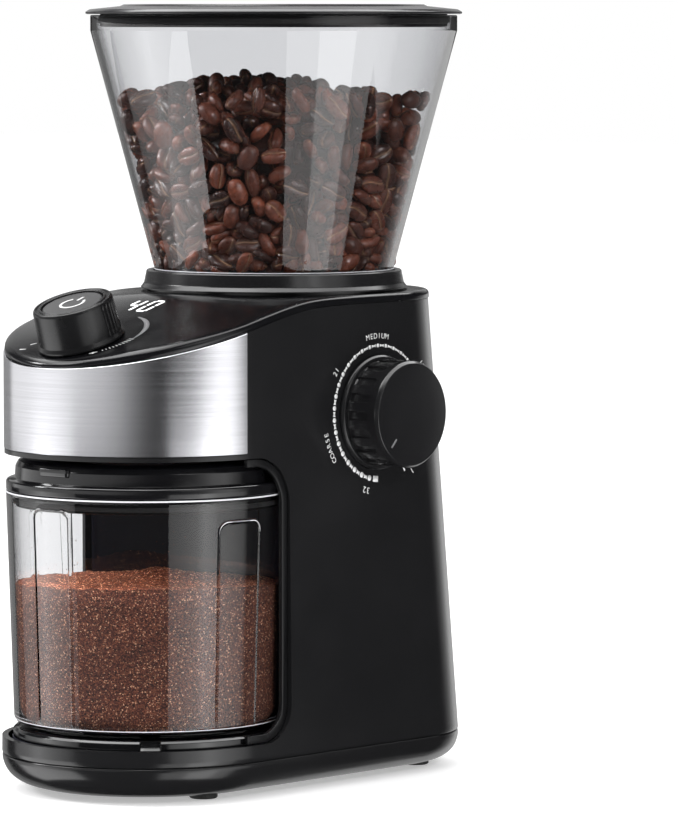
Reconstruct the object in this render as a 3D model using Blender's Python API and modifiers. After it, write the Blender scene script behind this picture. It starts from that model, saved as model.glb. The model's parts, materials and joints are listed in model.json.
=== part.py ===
"""Burr coffee grinder with a clear hopper, a side grind dial and a pull-out container.

The grinder stands on its feet at Z 0 and its front is towards -Y. Lengths below are in millimetres,
and MM turns them into the scene's metres. The pieces are placed from the upright burr axis, which
runs through the hopper, so an empty on that axis carries them all.
"""
import math

import bmesh
import bpy
from mathutils import Vector

MM = 0.001
GAP = 0.3                     # clearance between pieces that touch on the real grinder
MERGE = 0.00001               # merge distance of the turned shapes, in metres

# Body, in plan: a half-round front on the container's axis, straight sides and round rear corners.
LID_R = 78.4
BASE_R = 59.76
CUP_REACH = 76.35             # burr axis to container axis
BURR_Y = (CUP_REACH + BASE_R - LID_R) / 2    # centres the whole grinder on the origin
TOP_Z = 200.0
TOP_HALF_WIDTH = 57.6
SIDE_DRAFT = 0.0117           # the half-width grows this much for each millimetre down
REAR_TOP_Y = 59.2
REAR_DRAFT = math.tan(math.radians(5.4))
REAR_CORNER_R = 44.0
WALL = 2.5
BASE_SEAM_Z = 15.0
BASE_BOTTOM_Z = 2.2

# Top cover: a flat deck round the hopper and a panel that slopes down to the front.
DECK_Z = 201.8
SEAM_Z = 198.1
SEAM_SLOPE = 0.25
SEAM_KNEE_Y = -42.0
PANEL_TILT = math.radians(19.0)
KNOB_Y = -114.0
KNOB_Z = 184.3
LIP_HEIGHT = 3.4              # height of the cover's edge over the seam
COVER_PROUD = 0.4
COVER_WALL = 2.4
COLLAR_HOLE_R = 53.2

# Container bay
BAY_TOP_Z = 137.8
BAY_FLOOR_Z = 22.0
BAY_EDGE_Y = -54.0
BAY_WALL_R = 58.6
BAY_WALL_OUT_R = 60.2
BAY_LEG_ANGLE = math.radians(22.6)
BAND_BOTTOM_Z = 139.9
BAND_R = 58.5
BAND_THICK = 0.8
BAND_END_Y = -79.0

# Grind dial, on the right-hand side
DIAL_Z = 152.5
DIAL_FACE_X = 77.1
DIAL_R = 22.0
DIAL_FLANGE_R = 23.7
DIAL_RIBS = 16
DIAL_POINTER = math.radians(44.0)            # from straight down towards the front

# Gears: teeth, module
MOTOR_Y = 24.0
MOTOR_R = 25.5
MOTOR_TEETH, WHEEL_TEETH, FAST_MODULE = 9, 33, 1.0
SMALL_TEETH, OUTPUT_TEETH, SLOW_MODULE = 10, 30, 1.2
DIAL_TEETH, CROWN_TEETH, DIAL_MODULE = 12, 48, 1.75
CROWN_FIRST, CROWN_LAST = -12, 3             # the crown's teeth cover only the dial's travel
PRESSURE = math.radians(20.0)
ADDENDUM, DEDENDUM, TOOTH_SHARE = 0.8, 1.2, 0.8

# Heights inside
PLATE_Z = (121.0, 123.5)
CHAMBER_Z = (147.5, 150.0)
CHAMBER_R = 36.0
CROWN_PITCH_Z = DIAL_Z + DIAL_TEETH * DIAL_MODULE / 2
CHUTE_HALF = 11.0
PILLARS = [(x, y) for x in (-33.0, 33.0) for y in (-6.0, 42.0)]
BASE_SCREWS = [(0.0, -112.0), (-44.0, 8.0), (44.0, 8.0)]
FEET = {"front_left": (-39.5, -85.0), "front_right": (39.5, -85.0),
        "rear_left": (-36.5, 48.0), "rear_right": (36.5, 48.0)}

SIDE_VIEW = (math.pi / 2, 0, math.pi / 2)    # turns a flat XY outline into the YZ plane, up is Z

# Finishes: colour, metallic, roughness, alpha
FINISHES = {
    "satin_black": ((0.016, 0.016, 0.017), 0.0, 0.38, 1.0),
    "gloss_black": ((0.008, 0.008, 0.009), 0.0, 0.12, 1.0),
    "brushed_steel": ((0.62, 0.62, 0.63), 1.0, 0.28, 1.0),
    "clear": ((0.9, 0.92, 0.93), 0.0, 0.04, 0.25),
    "rubber": ((0.02, 0.02, 0.02), 0.0, 0.75, 1.0),
    "burr_steel": ((0.35, 0.35, 0.36), 1.0, 0.35, 1.0),
    "steel": ((0.55, 0.55, 0.56), 1.0, 0.3, 1.0),
    "brass": ((0.72, 0.52, 0.22), 1.0, 0.3, 1.0),
    "nylon": ((0.75, 0.74, 0.68), 0.0, 0.5, 1.0),
    "board_green": ((0.02, 0.16, 0.07), 0.0, 0.45, 1.0),
    "aluminium": ((0.6, 0.6, 0.61), 1.0, 0.4, 1.0),
}

parts = None
cutters = None
burr_axis = None


# ---------------------------------------------------------------- scene and object helpers

def start_scene():
    """Empty the scene and make the two collections and the burr axis."""
    global parts, cutters, burr_axis
    for thing in list(bpy.data.objects):
        bpy.data.objects.remove(thing)
    parts = bpy.data.collections.new("burr_coffee_grinder")
    cutters = bpy.data.collections.new("cutters")
    for collection in (parts, cutters):
        bpy.context.scene.collection.children.link(collection)
    burr_axis = axis_empty("burr_axis", (0, BURR_Y, 0))


def axis_empty(name, at, turn=(0, 0, 0), parent=None):
    """An empty on an axis, placed in its parent's frame; at is in millimetres."""
    empty = bpy.data.objects.new(name, None)
    empty.location = Vector(at) * MM
    empty.rotation_euler = turn
    empty.parent = parent
    parts.objects.link(empty)
    return empty


def material(name, finish):
    colour, metallic, roughness, alpha = FINISHES[finish]
    made = bpy.data.materials.new(name)
    made.use_nodes = True
    shader = made.node_tree.nodes["Principled BSDF"]
    shader.inputs["Base Color"].default_value = (*colour, 1.0)
    shader.inputs["Metallic"].default_value = metallic
    shader.inputs["Roughness"].default_value = roughness
    shader.inputs["Alpha"].default_value = alpha
    return made


def place(name, mesh, finish, parent, at, turn):
    """Put a mesh in the scene as a node with its own material, or as a cutter if finish is None."""
    thing = bpy.data.objects.new(name, mesh)
    thing.parent = parent or burr_axis
    thing.location = Vector(at) * MM
    thing.rotation_euler = turn
    if finish is None:
        cutters.objects.link(thing)
        thing.hide_render = True
        thing.display_type = "WIRE"
    else:
        mesh.materials.append(material(name, finish))
        parts.objects.link(thing)
    return thing


def settle(thing):
    """Turn an object's modifiers into its mesh, with round faces smooth and true edges sharp."""
    depsgraph = bpy.context.evaluated_depsgraph_get()
    mesh = bpy.data.meshes.new_from_object(thing.evaluated_get(depsgraph), depsgraph=depsgraph)
    mesh.name = thing.name
    thing.modifiers.clear()
    thing.data = mesh
    mesh.shade_smooth()
    mesh.set_sharp_from_angle(angle=math.radians(32))
    return thing


def boolean(thing, tool, operation):
    modifier = thing.modifiers.new(operation.lower(), "BOOLEAN")
    modifier.operation = operation
    modifier.solver = "EXACT"
    modifier.object = tool


def cut(thing, *tools):
    for tool in tools:
        boolean(thing, tool, "DIFFERENCE")
    return thing


def join(thing, *tools):
    for tool in tools:
        boolean(thing, tool, "UNION")
    return thing


# ---------------------------------------------------------------- shape helpers

def turned(name, finish, profile, parent=None, at=(0, 0, 0), turn=(0, 0, 0), steps=24):
    """Turn an (r, z) outline round Z. It is a closed ring, or it starts and ends on the axis."""
    area = sum(r0 * z1 - r1 * z0 for (r0, z0), (r1, z1) in zip(profile, profile[1:] + profile[:1]))
    points = profile if area < 0 else profile[::-1]
    edges = [(i, i + 1) for i in range(len(points) - 1)]
    if points[0][0] > 0:
        edges.append((len(points) - 1, 0))
    mesh = bpy.data.meshes.new(name)
    mesh.from_pydata([(r * MM, 0, z * MM) for r, z in points], edges, [])
    thing = place(name, mesh, finish, parent, at, turn)
    screw = thing.modifiers.new("turn", "SCREW")
    screw.axis = "Z"
    screw.steps = steps
    screw.render_steps = steps
    screw.use_merge_vertices = True
    screw.merge_threshold = MERGE
    return settle(thing)


def plate(name, finish, outlines, low, high, parent=None, at=(0, 0, 0), turn=(0, 0, 0)):
    """A flat plate from z low to high. The first outline is its edge, the others are holes."""
    curve = bpy.data.curves.new(name, "CURVE")
    curve.dimensions = "2D"
    curve.fill_mode = "BOTH"
    curve.extrude = (high - low) / 2 * MM
    for outline in outlines:
        spline = curve.splines.new("POLY")
        spline.points.add(len(outline) - 1)
        for point, (x, y) in zip(spline.points, outline):
            point.co = (x * MM, y * MM, 0, 1)
        spline.use_cyclic_u = True
    flat = bpy.data.objects.new(name + "_outline", curve)
    cutters.objects.link(flat)
    depsgraph = bpy.context.evaluated_depsgraph_get()
    mesh = bpy.data.meshes.new_from_object(flat.evaluated_get(depsgraph))
    bpy.data.objects.remove(flat)
    shape = bmesh.new()
    shape.from_mesh(mesh)
    bmesh.ops.remove_doubles(shape, verts=shape.verts, dist=MERGE)
    bmesh.ops.translate(shape, verts=shape.verts, vec=(0, 0, (low + high) / 2 * MM))
    bmesh.ops.recalc_face_normals(shape, faces=shape.faces)
    shape.to_mesh(mesh)
    shape.free()
    mesh.materials.clear()
    return settle(place(name, mesh, finish, parent, at, turn))


def block(name, finish, low, high, parent=None, at=(0, 0, 0), turn=(0, 0, 0), bevel=0.0):
    """A box between two corners, with an optional rounded edge."""
    mesh = bpy.data.meshes.new(name)
    shape = bmesh.new()
    bmesh.ops.create_cube(shape, size=MM)
    size = [b - a for a, b in zip(low, high)]
    middle = [(a + b) / 2 * MM for a, b in zip(low, high)]
    bmesh.ops.scale(shape, vec=size, verts=shape.verts)
    bmesh.ops.translate(shape, vec=middle, verts=shape.verts)
    shape.to_mesh(mesh)
    shape.free()
    thing = place(name, mesh, finish, parent, at, turn)
    if bevel:
        rounding = thing.modifiers.new("rounding", "BEVEL")
        rounding.width = bevel * MM
        rounding.segments = 2
    return settle(thing)


def rod(name, finish, radius, low, high, parent=None, at=(0, 0, 0), turn=(0, 0, 0), steps=24):
    """A plain cylinder along its own Z."""
    mesh = bpy.data.meshes.new(name)
    shape = bmesh.new()
    bmesh.ops.create_cone(shape, cap_ends=True, segments=steps, radius1=radius * MM,
                          radius2=radius * MM, depth=(high - low) * MM)
    bmesh.ops.translate(shape, vec=(0, 0, (low + high) / 2 * MM), verts=shape.verts)
    shape.to_mesh(mesh)
    shape.free()
    return settle(place(name, mesh, finish, parent, at, turn))


def loft(name, finish, rings, closed=True, wrap=False, caps=(), thick=0.0, parent=None,
         at=(0, 0, 0), turn=(0, 0, 0)):
    """Skin a list of rings of equal length. wrap joins the last ring to the first, caps closes
    ring 0 or -1, and thick grows the open skin inwards into a shell."""
    shape = bmesh.new()
    rows = [[shape.verts.new(Vector(point) * MM) for point in ring] for ring in rings]
    pairs = list(zip(rows, rows[1:]))
    if wrap:
        pairs.append((rows[-1], rows[0]))
    count = len(rows[0])
    for lower, upper in pairs:
        for i in range(count if closed else count - 1):
            j = (i + 1) % count
            shape.faces.new((lower[i], lower[j], upper[j], upper[i]))
    for cap in caps:
        shape.faces.new(rows[cap][::-1] if cap == 0 else rows[cap])
    if wrap or caps:
        bmesh.ops.recalc_face_normals(shape, faces=shape.faces)
    mesh = bpy.data.meshes.new(name)
    shape.to_mesh(mesh)
    shape.free()
    thing = place(name, mesh, finish, parent, at, turn)
    if thick:
        shell = thing.modifiers.new("wall", "SOLIDIFY")
        shell.thickness = thick * MM
        shell.offset = -1
        shell.use_even_offset = True
    return settle(thing)


def arc(centre, radius, start, end, steps):
    """Points on an arc, both ends included; angles in degrees."""
    angles = [math.radians(start + (end - start) * i / steps) for i in range(steps + 1)]
    return [(centre[0] + radius * math.cos(a), centre[1] + radius * math.sin(a)) for a in angles]


def circle(radius, centre=(0, 0), steps=20):
    return arc(centre, radius, 0, 360, steps)[:-1]


def rounded(corners, steps=5):
    """An outline through (x, y, radius) corners, each rounded by its radius."""
    outline = []
    for i, (x, y, radius) in enumerate(corners):
        corner = Vector((x, y))
        if radius == 0:
            outline.append((x, y))
            continue
        before = (Vector(corners[i - 1][:2]) - corner).normalized()
        after = (Vector(corners[(i + 1) % len(corners)][:2]) - corner).normalized()
        half = before.angle(after) / 2
        centre = corner + (before + after).normalized() * radius / math.sin(half)
        first = corner + before * radius / math.tan(half) - centre
        last = corner + after * radius / math.tan(half) - centre
        for k in range(steps + 1):
            spoke = first.lerp(last, k / steps).normalized() * radius
            outline.append(tuple(centre + spoke))
    return outline


def rectangle(left, front, right, back, radius):
    return rounded([(left, front, radius), (right, front, radius), (right, back, radius),
                    (left, back, radius)])


# ---------------------------------------------------------------- body outline and cover surface

def half_width(z):
    return TOP_HALF_WIDTH + (TOP_Z - z) * SIDE_DRAFT


def body_plan(z, inset=0.0):
    """The body's outline at height z, as (x, y) points from the left side round the front."""
    width = half_width(z) - inset
    rear = REAR_TOP_Y + (TOP_Z - z) * REAR_DRAFT - inset
    corner = REAR_CORNER_R - inset
    front = arc((0, -CUP_REACH), width, 180, 360, 28)
    sides = [(-CUP_REACH + (rear - corner + CUP_REACH) * i / 8) for i in range(1, 8)]
    right = [(width, y) for y in sides]
    rear_right = arc((width - corner, rear - corner), corner, 0, 90, 6)
    back = [((width - corner) * (1 - i / 2), rear) for i in range(1, 4)]
    rear_left = arc((corner - width, rear - corner), corner, 90, 180, 6)
    left = [(-width, y) for y in reversed(sides)]
    return front + right + rear_right + back + rear_left + left


def soft_min(a, b, blend):
    return (a + b - math.sqrt((a - b) ** 2 + blend ** 2)) / 2


def seam_z(y):
    """Height of the line between the top cover and the body."""
    return soft_min(SEAM_Z, SEAM_Z + SEAM_SLOPE * (y - SEAM_KNEE_Y), 3.0)


def cover_z(x, y):
    """Height of the top cover's surface: it is highest on the middle line."""
    edge = seam_z(y) + LIP_HEIGHT
    middle = soft_min(DECK_Z, KNOB_Z + math.tan(PANEL_TILT) * (y - KNOB_Y), 2.0)
    return edge + (middle - edge) * (1 - min(1, (x / TOP_HALF_WIDTH) ** 2))


# ---------------------------------------------------------------- gears

def involute(angle):
    return math.tan(angle) - angle


def gear_outline(teeth, module, phase):
    """Outline of a spur gear with a tooth centred at phase, in radians. Each flank is the chord of
    its involute, so it stays inside the true tooth."""
    pitch_r = teeth * module / 2
    base_r = pitch_r * math.cos(PRESSURE)
    radii = (pitch_r - DEDENDUM * module, pitch_r + ADDENDUM * module)
    half = [math.pi / teeth / 2 * TOOTH_SHARE + involute(PRESSURE)
            - involute(math.acos(min(1, base_r / r))) for r in radii]
    outline = []
    for tooth in range(teeth):
        middle = phase + tooth * math.tau / teeth
        flank = [(r, middle - h) for r, h in zip(radii, half)]
        flank += [(r, middle + h) for r, h in zip(radii[::-1], half[::-1])]
        outline += [(r * math.cos(a), r * math.sin(a)) for r, a in flank]
    return outline


def meshed_phase(centre, phase, teeth, other_centre, other_teeth):
    """Phase of the other gear, so that its gaps take the first gear's teeth."""
    towards = math.atan2(other_centre[1] - centre[1], other_centre[0] - centre[0])
    share = (phase - towards) / (math.tau / teeth)
    return towards + math.pi + (0.5 - share) * math.tau / other_teeth


def compound_centre():
    """Where the compound gear's pin stands, left of the line from the motor to the burrs."""
    fast = (MOTOR_TEETH + WHEEL_TEETH) * FAST_MODULE / 2
    slow = (SMALL_TEETH + OUTPUT_TEETH) * SLOW_MODULE / 2
    y = (slow ** 2 - fast ** 2 + MOTOR_Y ** 2) / (2 * MOTOR_Y)
    return (-math.sqrt(slow ** 2 - y ** 2), y)


# ---------------------------------------------------------------- body

def bay_opening(shrink=0.0):
    """Side view of the bay's opening, as (y, z) points."""
    return rounded([(-170, BAY_TOP_Z - shrink, 0), (BAY_EDGE_Y - shrink, BAY_TOP_Z - shrink, 19 - shrink),
                    (BAY_EDGE_Y - shrink, BAY_FLOOR_Z + shrink, 15 - shrink),
                    (-170, BAY_FLOOR_Z + shrink, 0)], steps=8)


def make_housing():
    rings = [[(x, y, z) for x, y in body_plan(z)] for z in (BASE_SEAM_Z + GAP, 130)]
    rings.append([(x, y, seam_z(y) - GAP) for x, y in body_plan(SEAM_Z)])
    housing = loft("main_housing", "satin_black", rings, thick=WALL)
    opening = plate("bay_opening_cutter", None, [bay_opening()], -90, 90, turn=SIDE_VIEW)
    recess_plan = arc((0, -CUP_REACH), BAND_R - BAND_THICK - GAP, 182.4, 357.6, 32)
    recess_plan += [(90, BAND_END_Y), (90, -170), (-90, -170), (-90, BAND_END_Y)]
    recess = plate("band_recess_cutter", None, [recess_plan], BAND_BOTTOM_Z - GAP, 210)
    dial_hole = rod("dial_hole_cutter", None, 4.5, 40, 90, at=(0, 0, DIAL_Z), turn=(0, math.pi / 2, 0))
    cord_hole = rod("cord_hole_cutter", None, 5.9, 50, 90, at=(0, 0, 34), turn=(-math.pi / 2, 0, 0))
    cut(housing, opening, recess, dial_hole, cord_hole)


def make_band():
    """The brushed steel sheet round the head. Its top edge follows the cover's seam."""
    end = math.degrees(math.asin((-CUP_REACH - BAND_END_Y) / BAND_R))
    line = arc((0, -CUP_REACH), BAND_R, 180 + end, 360 - end, 44)
    low = [(x, y, BAND_BOTTOM_Z) for x, y in line]
    high = [(x, y, seam_z(y) - GAP) for x, y in line]
    loft("steel_band", "brushed_steel", [low, high], closed=False, thick=BAND_THICK)


def make_bay():
    leg = math.degrees(BAY_LEG_ANGLE)
    axis = (0, -CUP_REACH)
    outline = arc(axis, 55.4, 180, 360, 32) + arc(axis, BAY_WALL_OUT_R - 0.2, leg, 180 - leg, 28)
    liner = plate("bay_liner", "gloss_black", [outline], 19.6, BAND_BOTTOM_Z)
    cavity_plan = arc(axis, BAY_WALL_R, leg, 180 - leg, 28)
    cavity_plan += [(-90, BAY_EDGE_Y), (-90, -170), (90, -170), (90, BAY_EDGE_Y)]
    cavity = plate("bay_cavity_cutter", None, [cavity_plan], 21.6, BAY_TOP_Z + 0.1)
    chute_hole = block("chute_hole_cutter", None, (-CHUTE_HALF - 0.4, -74.1, 130),
                       (CHUTE_HALF + 0.4, -51.9, 145))
    cut(liner, cavity, chute_hole)
    trim_tail = [(-78, BAY_TOP_Z - GAP), (-78, BAY_FLOOR_Z + GAP)]
    outer = [p for p in bay_opening(GAP) if p[0] > -100]
    inner = [p for p in bay_opening(3.6) if p[0] > -100]
    outline = [trim_tail[0]] + outer + [trim_tail[1]]
    outline += [(-78, BAY_FLOOR_Z + 3.6)] + inner[::-1] + [(-78, BAY_TOP_Z - 3.6)]
    for side, low in (("left", -57.5), ("right", 55.5)):
        plate("bay_trim_" + side, "gloss_black", [outline], low, low + 2.0, turn=SIDE_VIEW)
    seat = turned("cup_seat", "gloss_black", [(55.2, 21.9), (55.2, 24.6), (54.2, 25.6),
                                              (50.6, 25.6), (50.6, 21.9)], at=(0, -CUP_REACH, 0), steps=40)
    for number in range(4):
        angle = math.radians(45 + 90 * number)
        notch = block("seat_notch_%d_cutter" % number, None, (52.5, -4, 23.2), (60, 4, 30),
                      at=(0, -CUP_REACH, 0), turn=(0, 0, angle))
        cut(seat, notch)


def make_base():
    levels = ((BASE_SEAM_Z, 0.2), (12.5, 0.3), (9.0, 1.6), (6.0, 4.0), (3.6, 7.8), (BASE_BOTTOM_Z, 12.4))
    rings = [[(x, y, z) for x, y in body_plan(z, inset)] for z, inset in reversed(levels)]
    base = loft("base_cover", "satin_black", rings, caps=(0,), thick=2.3)
    for number, (x, y) in enumerate(BASE_SCREWS):
        hole = rod("screw_hole_%d_cutter" % number, None, 2.0, 0, 10, at=(x, y, 0), steps=16)
        seat = rod("screw_seat_%d_cutter" % number, None, 3.8, 0, 3.6, at=(x, y, 0), steps=24)
        cut(base, hole, seat)
    for number in range(5):
        slot = block("vent_%d_cutter" % number, None, (-16, -1.2, 0), (16, 1.2, 10),
                     at=(0, 14 + 6 * number, 0))
        cut(base, slot)
    foot = [(0, 1.9), (5.8, 1.9), (5.8, 0.5), (5.3, 0), (0, 0)]
    for place_name, (x, y) in FEET.items():
        turned("foot_" + place_name, "rubber", foot, at=(x, y, 0), steps=20)
    screw = [(0, 2.2), (3.1, 2.2), (3.4, 2.5), (3.4, 3.3), (1.6, 3.3), (1.6, 12.0), (0, 12.0)]
    for number, (x, y) in enumerate(BASE_SCREWS, 1):
        turned("base_screw_%d" % number, "steel", screw, at=(x, y, 0), steps=12)


def make_cord_inlet():
    """The gland in the back wall, square to the wall's slope."""
    lean = math.radians(5.4)
    at = (0, REAR_TOP_Y + (TOP_Z - 34) * REAR_DRAFT, 34)
    profile = [(3.6, 2.3), (6.6, 2.3), (8.0, 1.4), (8.0, 0.4), (5.5, 0.4), (5.5, -5.0), (3.6, -5.0)]
    turned("cord_inlet", "rubber", profile, at=at, turn=(lean - math.pi / 2, 0, 0), steps=16)


# ---------------------------------------------------------------- top cover and control panel

def make_top_cover():
    rim = body_plan(SEAM_Z, -COVER_PROUD)
    rings = [[(x, y, seam_z(y)) for x, y in rim]]
    for inset, drop in ((-COVER_PROUD, 2.0), (0.1, 0.85), (0.8, 0.25), (1.7, 0.0)):
        rings.append([(x, y, cover_z(x, y) - drop) for x, y in body_plan(SEAM_Z, inset)])
    edge = [Vector(point[:2]) for point in rings[-1]]
    hole = [point.normalized() * COLLAR_HOLE_R for point in edge]
    for share in (0.3, 0.65, 1.0):
        line = [a.lerp(b, share) for a, b in zip(edge, hole)]
        rings.append([(p.x, p.y, cover_z(p.x, p.y)) for p in line])
    cover = loft("top_cover", "gloss_black", rings, thick=COVER_WALL)
    stem_hole = rod("knob_hole_cutter", None, 5.0, -8, 8, at=(0, KNOB_Y, KNOB_Z), turn=(PANEL_TILT, 0, 0))
    cut(cover, stem_hole)
    turned("hopper_collar", "satin_black",
           [(50.6, 209.8), (52.9, 209.8), (53.3, 209.3), (54.3, 204.4), (55.6, 202.7),
            (55.6, 202.15), (52.2, 202.15), (52.2, 196.6), (50.6, 196.6)], steps=40)


def make_control_panel():
    knob_axis = axis_empty("knob_axis", (0, KNOB_Y, KNOB_Z), (PANEL_TILT, 0, 0), burr_axis)
    turned("timer_knob", "gloss_black",
           [(12.9, 17.1), (15.6, 17.1), (16.3, 16.4), (17.0, 2.8), (17.8, 1.3), (17.8, 0.6),
            (3.4, 0.6), (3.4, 9.3), (14.4, 9.3), (14.4, 14.6), (12.9, 14.6)], parent=knob_axis,
           steps=32)
    turned("power_button", "satin_black",
           [(0, 16.7), (12.1, 16.7), (12.6, 16.2), (12.6, 14.2), (13.9, 14.2), (13.9, 12.9),
            (0, 12.9)], parent=knob_axis)
    rod("encoder_shaft", "aluminium", 3.0, 0.7, 11.9, parent=knob_axis)
    board = plate("control_board", "board_green", [rectangle(-24, -13, 24, 50, 3)], -11.5, -9.9,
                  parent=knob_axis)
    encoder = block("encoder_cutter", None, (-5.9, -5.9, -10.5), (5.9, 5.9, -3.2), parent=knob_axis)
    bush = rod("encoder_bush_cutter", None, 4.4, -6, 0.4, parent=knob_axis)
    join(board, encoder, bush)
    block("display_module", "gloss_black", (-12, 33.5, -9.6), (12, 46.5, -4.6), parent=knob_axis,
          bevel=0.5)


# ---------------------------------------------------------------- hopper and container

def sector(inner, outer, middle, width):
    """A piece of a ring, in plan; angles in degrees."""
    start, end = middle - width / 2, middle + width / 2
    return arc((0, 0), outer, start, end, 4) + arc((0, 0), inner, end, start, 4)


def make_hopper():
    turned("hopper", "clear",
           [(73.9, 315.6), (76.4, 315.6), (76.4, 309.2), (49.8, 209.8), (49.8, 203.2),
            (47.4, 203.2), (47.4, 210.2), (73.9, 309.6)], steps=40)
    floor = turned("hopper_floor", "satin_black",
                   [(19.5, 205.6), (46.9, 211.6), (46.9, 202.9), (49.4, 202.9), (49.4, 201.9),
                    (44.0, 201.9), (44.0, 197.0), (42.0, 197.0), (42.0, 208.2), (21.5, 203.8),
                    (21.5, 189.0), (19.5, 189.0)])
    latch = turned("hopper_latch_ring", "nylon",
                   [(44.5, 201.6), (50.2, 201.6), (50.2, 196.3), (44.5, 196.3)])
    for number in range(3):
        middle = 90 + 120 * number
        lug = plate("lug_%d_cutter" % number, None, [sector(43.0, 46.6, middle, 14)], 197.2, 200.8)
        notch = plate("lug_notch_%d_cutter" % number, None, [sector(43.0, 47.1, middle, 16)], 190, 210)
        join(floor, lug)
        cut(latch, notch)
    turned("hopper_seat", "satin_black", [(31, 196.0), (54, 196.0), (54, 193.4), (31, 193.4)])
    turned("hopper_lid", "satin_black",
           [(0, 320.0), (62.5, 320.0), (64.0, 319.5), (76.8, 317.9), (LID_R, 316.8), (LID_R, 316.0),
            (72.3, 316.0), (72.3, 310.6), (70.4, 310.6), (70.4, 316.4), (62.0, 318.0), (0, 318.0)],
           steps=40)
    turned("lid_seal", "rubber",
           [(72.6, 314.6), (73.5, 314.1), (73.5, 312.3), (72.6, 311.8)], steps=40)


def make_container():
    cup_axis = axis_empty("cup_axis", (0, -CUP_REACH, 0), parent=burr_axis)
    turned("container", "clear",
           [(0, 28.4), (49.4, 28.4), (51.6, 29.6), (52.5, 32.4), (55.4, 122.3), (57.3, 122.3),
            (57.7, 121.6), (54.8, 31.0), (53.6, 27.6), (51.0, 26.0), (0, 26.0)], parent=cup_axis,
           steps=40)
    lid = turned("container_lid", "gloss_black",
                 [(24.0, 135.8), (50.4, 135.8), (52.6, 134.8), (53.8, 132.6), (54.2, 127.6), (57.7, 127.2),
                  (57.7, 122.7), (54.2, 122.7), (53.7, 116.5), (51.9, 116.5), (51.9, 131.8),
                  (50.2, 133.8), (24.0, 133.8)], parent=cup_axis, steps=40)
    tab = block("lid_tab", None, (-8.0, -54.7, 130.6), (8.0, -52.6, 134.0), parent=cup_axis)
    join(lid, tab)
    turned("container_lid_seal", "rubber",
           [(54.4, 119.6), (55.0, 119.2), (55.0, 118.0), (54.4, 117.6)], parent=cup_axis, steps=40)


# ---------------------------------------------------------------- grind dial and burrs

def make_dial():
    """Everything on the dial's axis. Its own Z is the grinder's +X, and its own X points down."""
    dial_axis = axis_empty("dial_axis", (0, 0, DIAL_Z), (0, math.pi / 2, 0), burr_axis)
    turned("dial_flange", "gloss_black",
           [(4.5, 60.4), (22.9, 60.4), (DIAL_FLANGE_R, 59.6), (DIAL_FLANGE_R, 58.75), (4.5, 58.75)],
           parent=dial_axis, steps=32)
    columns = DIAL_RIBS * 4
    levels = ((60.7, 0.9), (71.6, 0.9), (72.8, 0.0), (76.4, 0.0))
    rings = []
    for z, groove in levels:
        radii = [DIAL_R - (groove if i % 4 in (1, 2) else 0) for i in range(columns)]
        rings.append([(r * math.cos(math.tau * i / columns), r * math.sin(math.tau * i / columns), z)
                      for i, r in enumerate(radii)])
    rings.append([(x, y, DIAL_FACE_X) for x, y in circle(DIAL_R - 0.8, steps=columns)])
    dial = loft("grind_dial", "satin_black", rings, caps=(0, -1), parent=dial_axis)
    bore = rod("dial_bore_cutter", None, 2.8, 50, 70.4, parent=dial_axis)
    mark = block("dial_mark_cutter", None, (13.5, -0.6, DIAL_FACE_X - 0.4), (18.5, 0.6, 80),
                 parent=dial_axis, turn=(0, 0, -DIAL_POINTER))
    cut(dial, bore, mark)
    rod("dial_shaft", "steel", 2.5, 38.0, 70.0, parent=dial_axis)
    plate("dial_pinion", "nylon",
          [gear_outline(DIAL_TEETH, DIAL_MODULE, math.pi), circle(2.8)], 40.4, 43.6, parent=dial_axis)


def crown_rings():
    """Cross-sections of the adjusting ring, with radial teeth on a stretch of its underside."""
    module = DIAL_MODULE
    pitch_angle = math.tau / CROWN_TEETH
    mean_r = CROWN_TEETH * module / 2
    thick = math.pi * module / 4 * TOOTH_SHARE
    slope = math.tan(PRESSURE)
    tip = (thick - ADDENDUM * module * slope) / mean_r
    root = (thick + DEDENDUM * module * slope) / mean_r
    tip_z = CROWN_PITCH_Z - ADDENDUM * module
    root_z = CROWN_PITCH_Z + DEDENDUM * module
    columns = []
    for tooth in range(CROWN_FIRST, CROWN_LAST + 1):
        middle = (tooth + 0.5) * pitch_angle
        for offset, z in ((-root, root_z), (-tip, tip_z), (tip, tip_z), (root, root_z)):
            columns.append((middle + offset, z))
    start, end = columns[-1][0], columns[0][0] + math.tau
    plain = 20
    columns += [(start + (end - start) * i / plain, root_z) for i in range(1, plain)]
    rings = []
    for angle, z in columns:
        spoke = Vector((math.cos(angle), math.sin(angle), 0))
        section = ((36.5, 172.4), (36.5, 165.4), (40.2, z), (44.0, z), (45.2, 172.4))
        rings.append([spoke * r + Vector((0, 0, height)) for r, height in section])
    return rings


def toothed_ring(section, teeth, columns, twist):
    """Rings round Z through (radius, z, tooth height) points; twist turns them with height."""
    low = min(z for _, z, _ in section)
    rings = []
    for radius, z, height in section:
        ring = []
        for i in range(columns):
            ridge = height if i * teeth * 2 // columns % 2 else 0
            angle = math.tau * i / columns + twist * (z - low) * (1 if height else 0)
            ring.append(((radius + ridge) * math.cos(angle), (radius + ridge) * math.sin(angle), z))
        rings.append(ring)
    return rings


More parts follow.
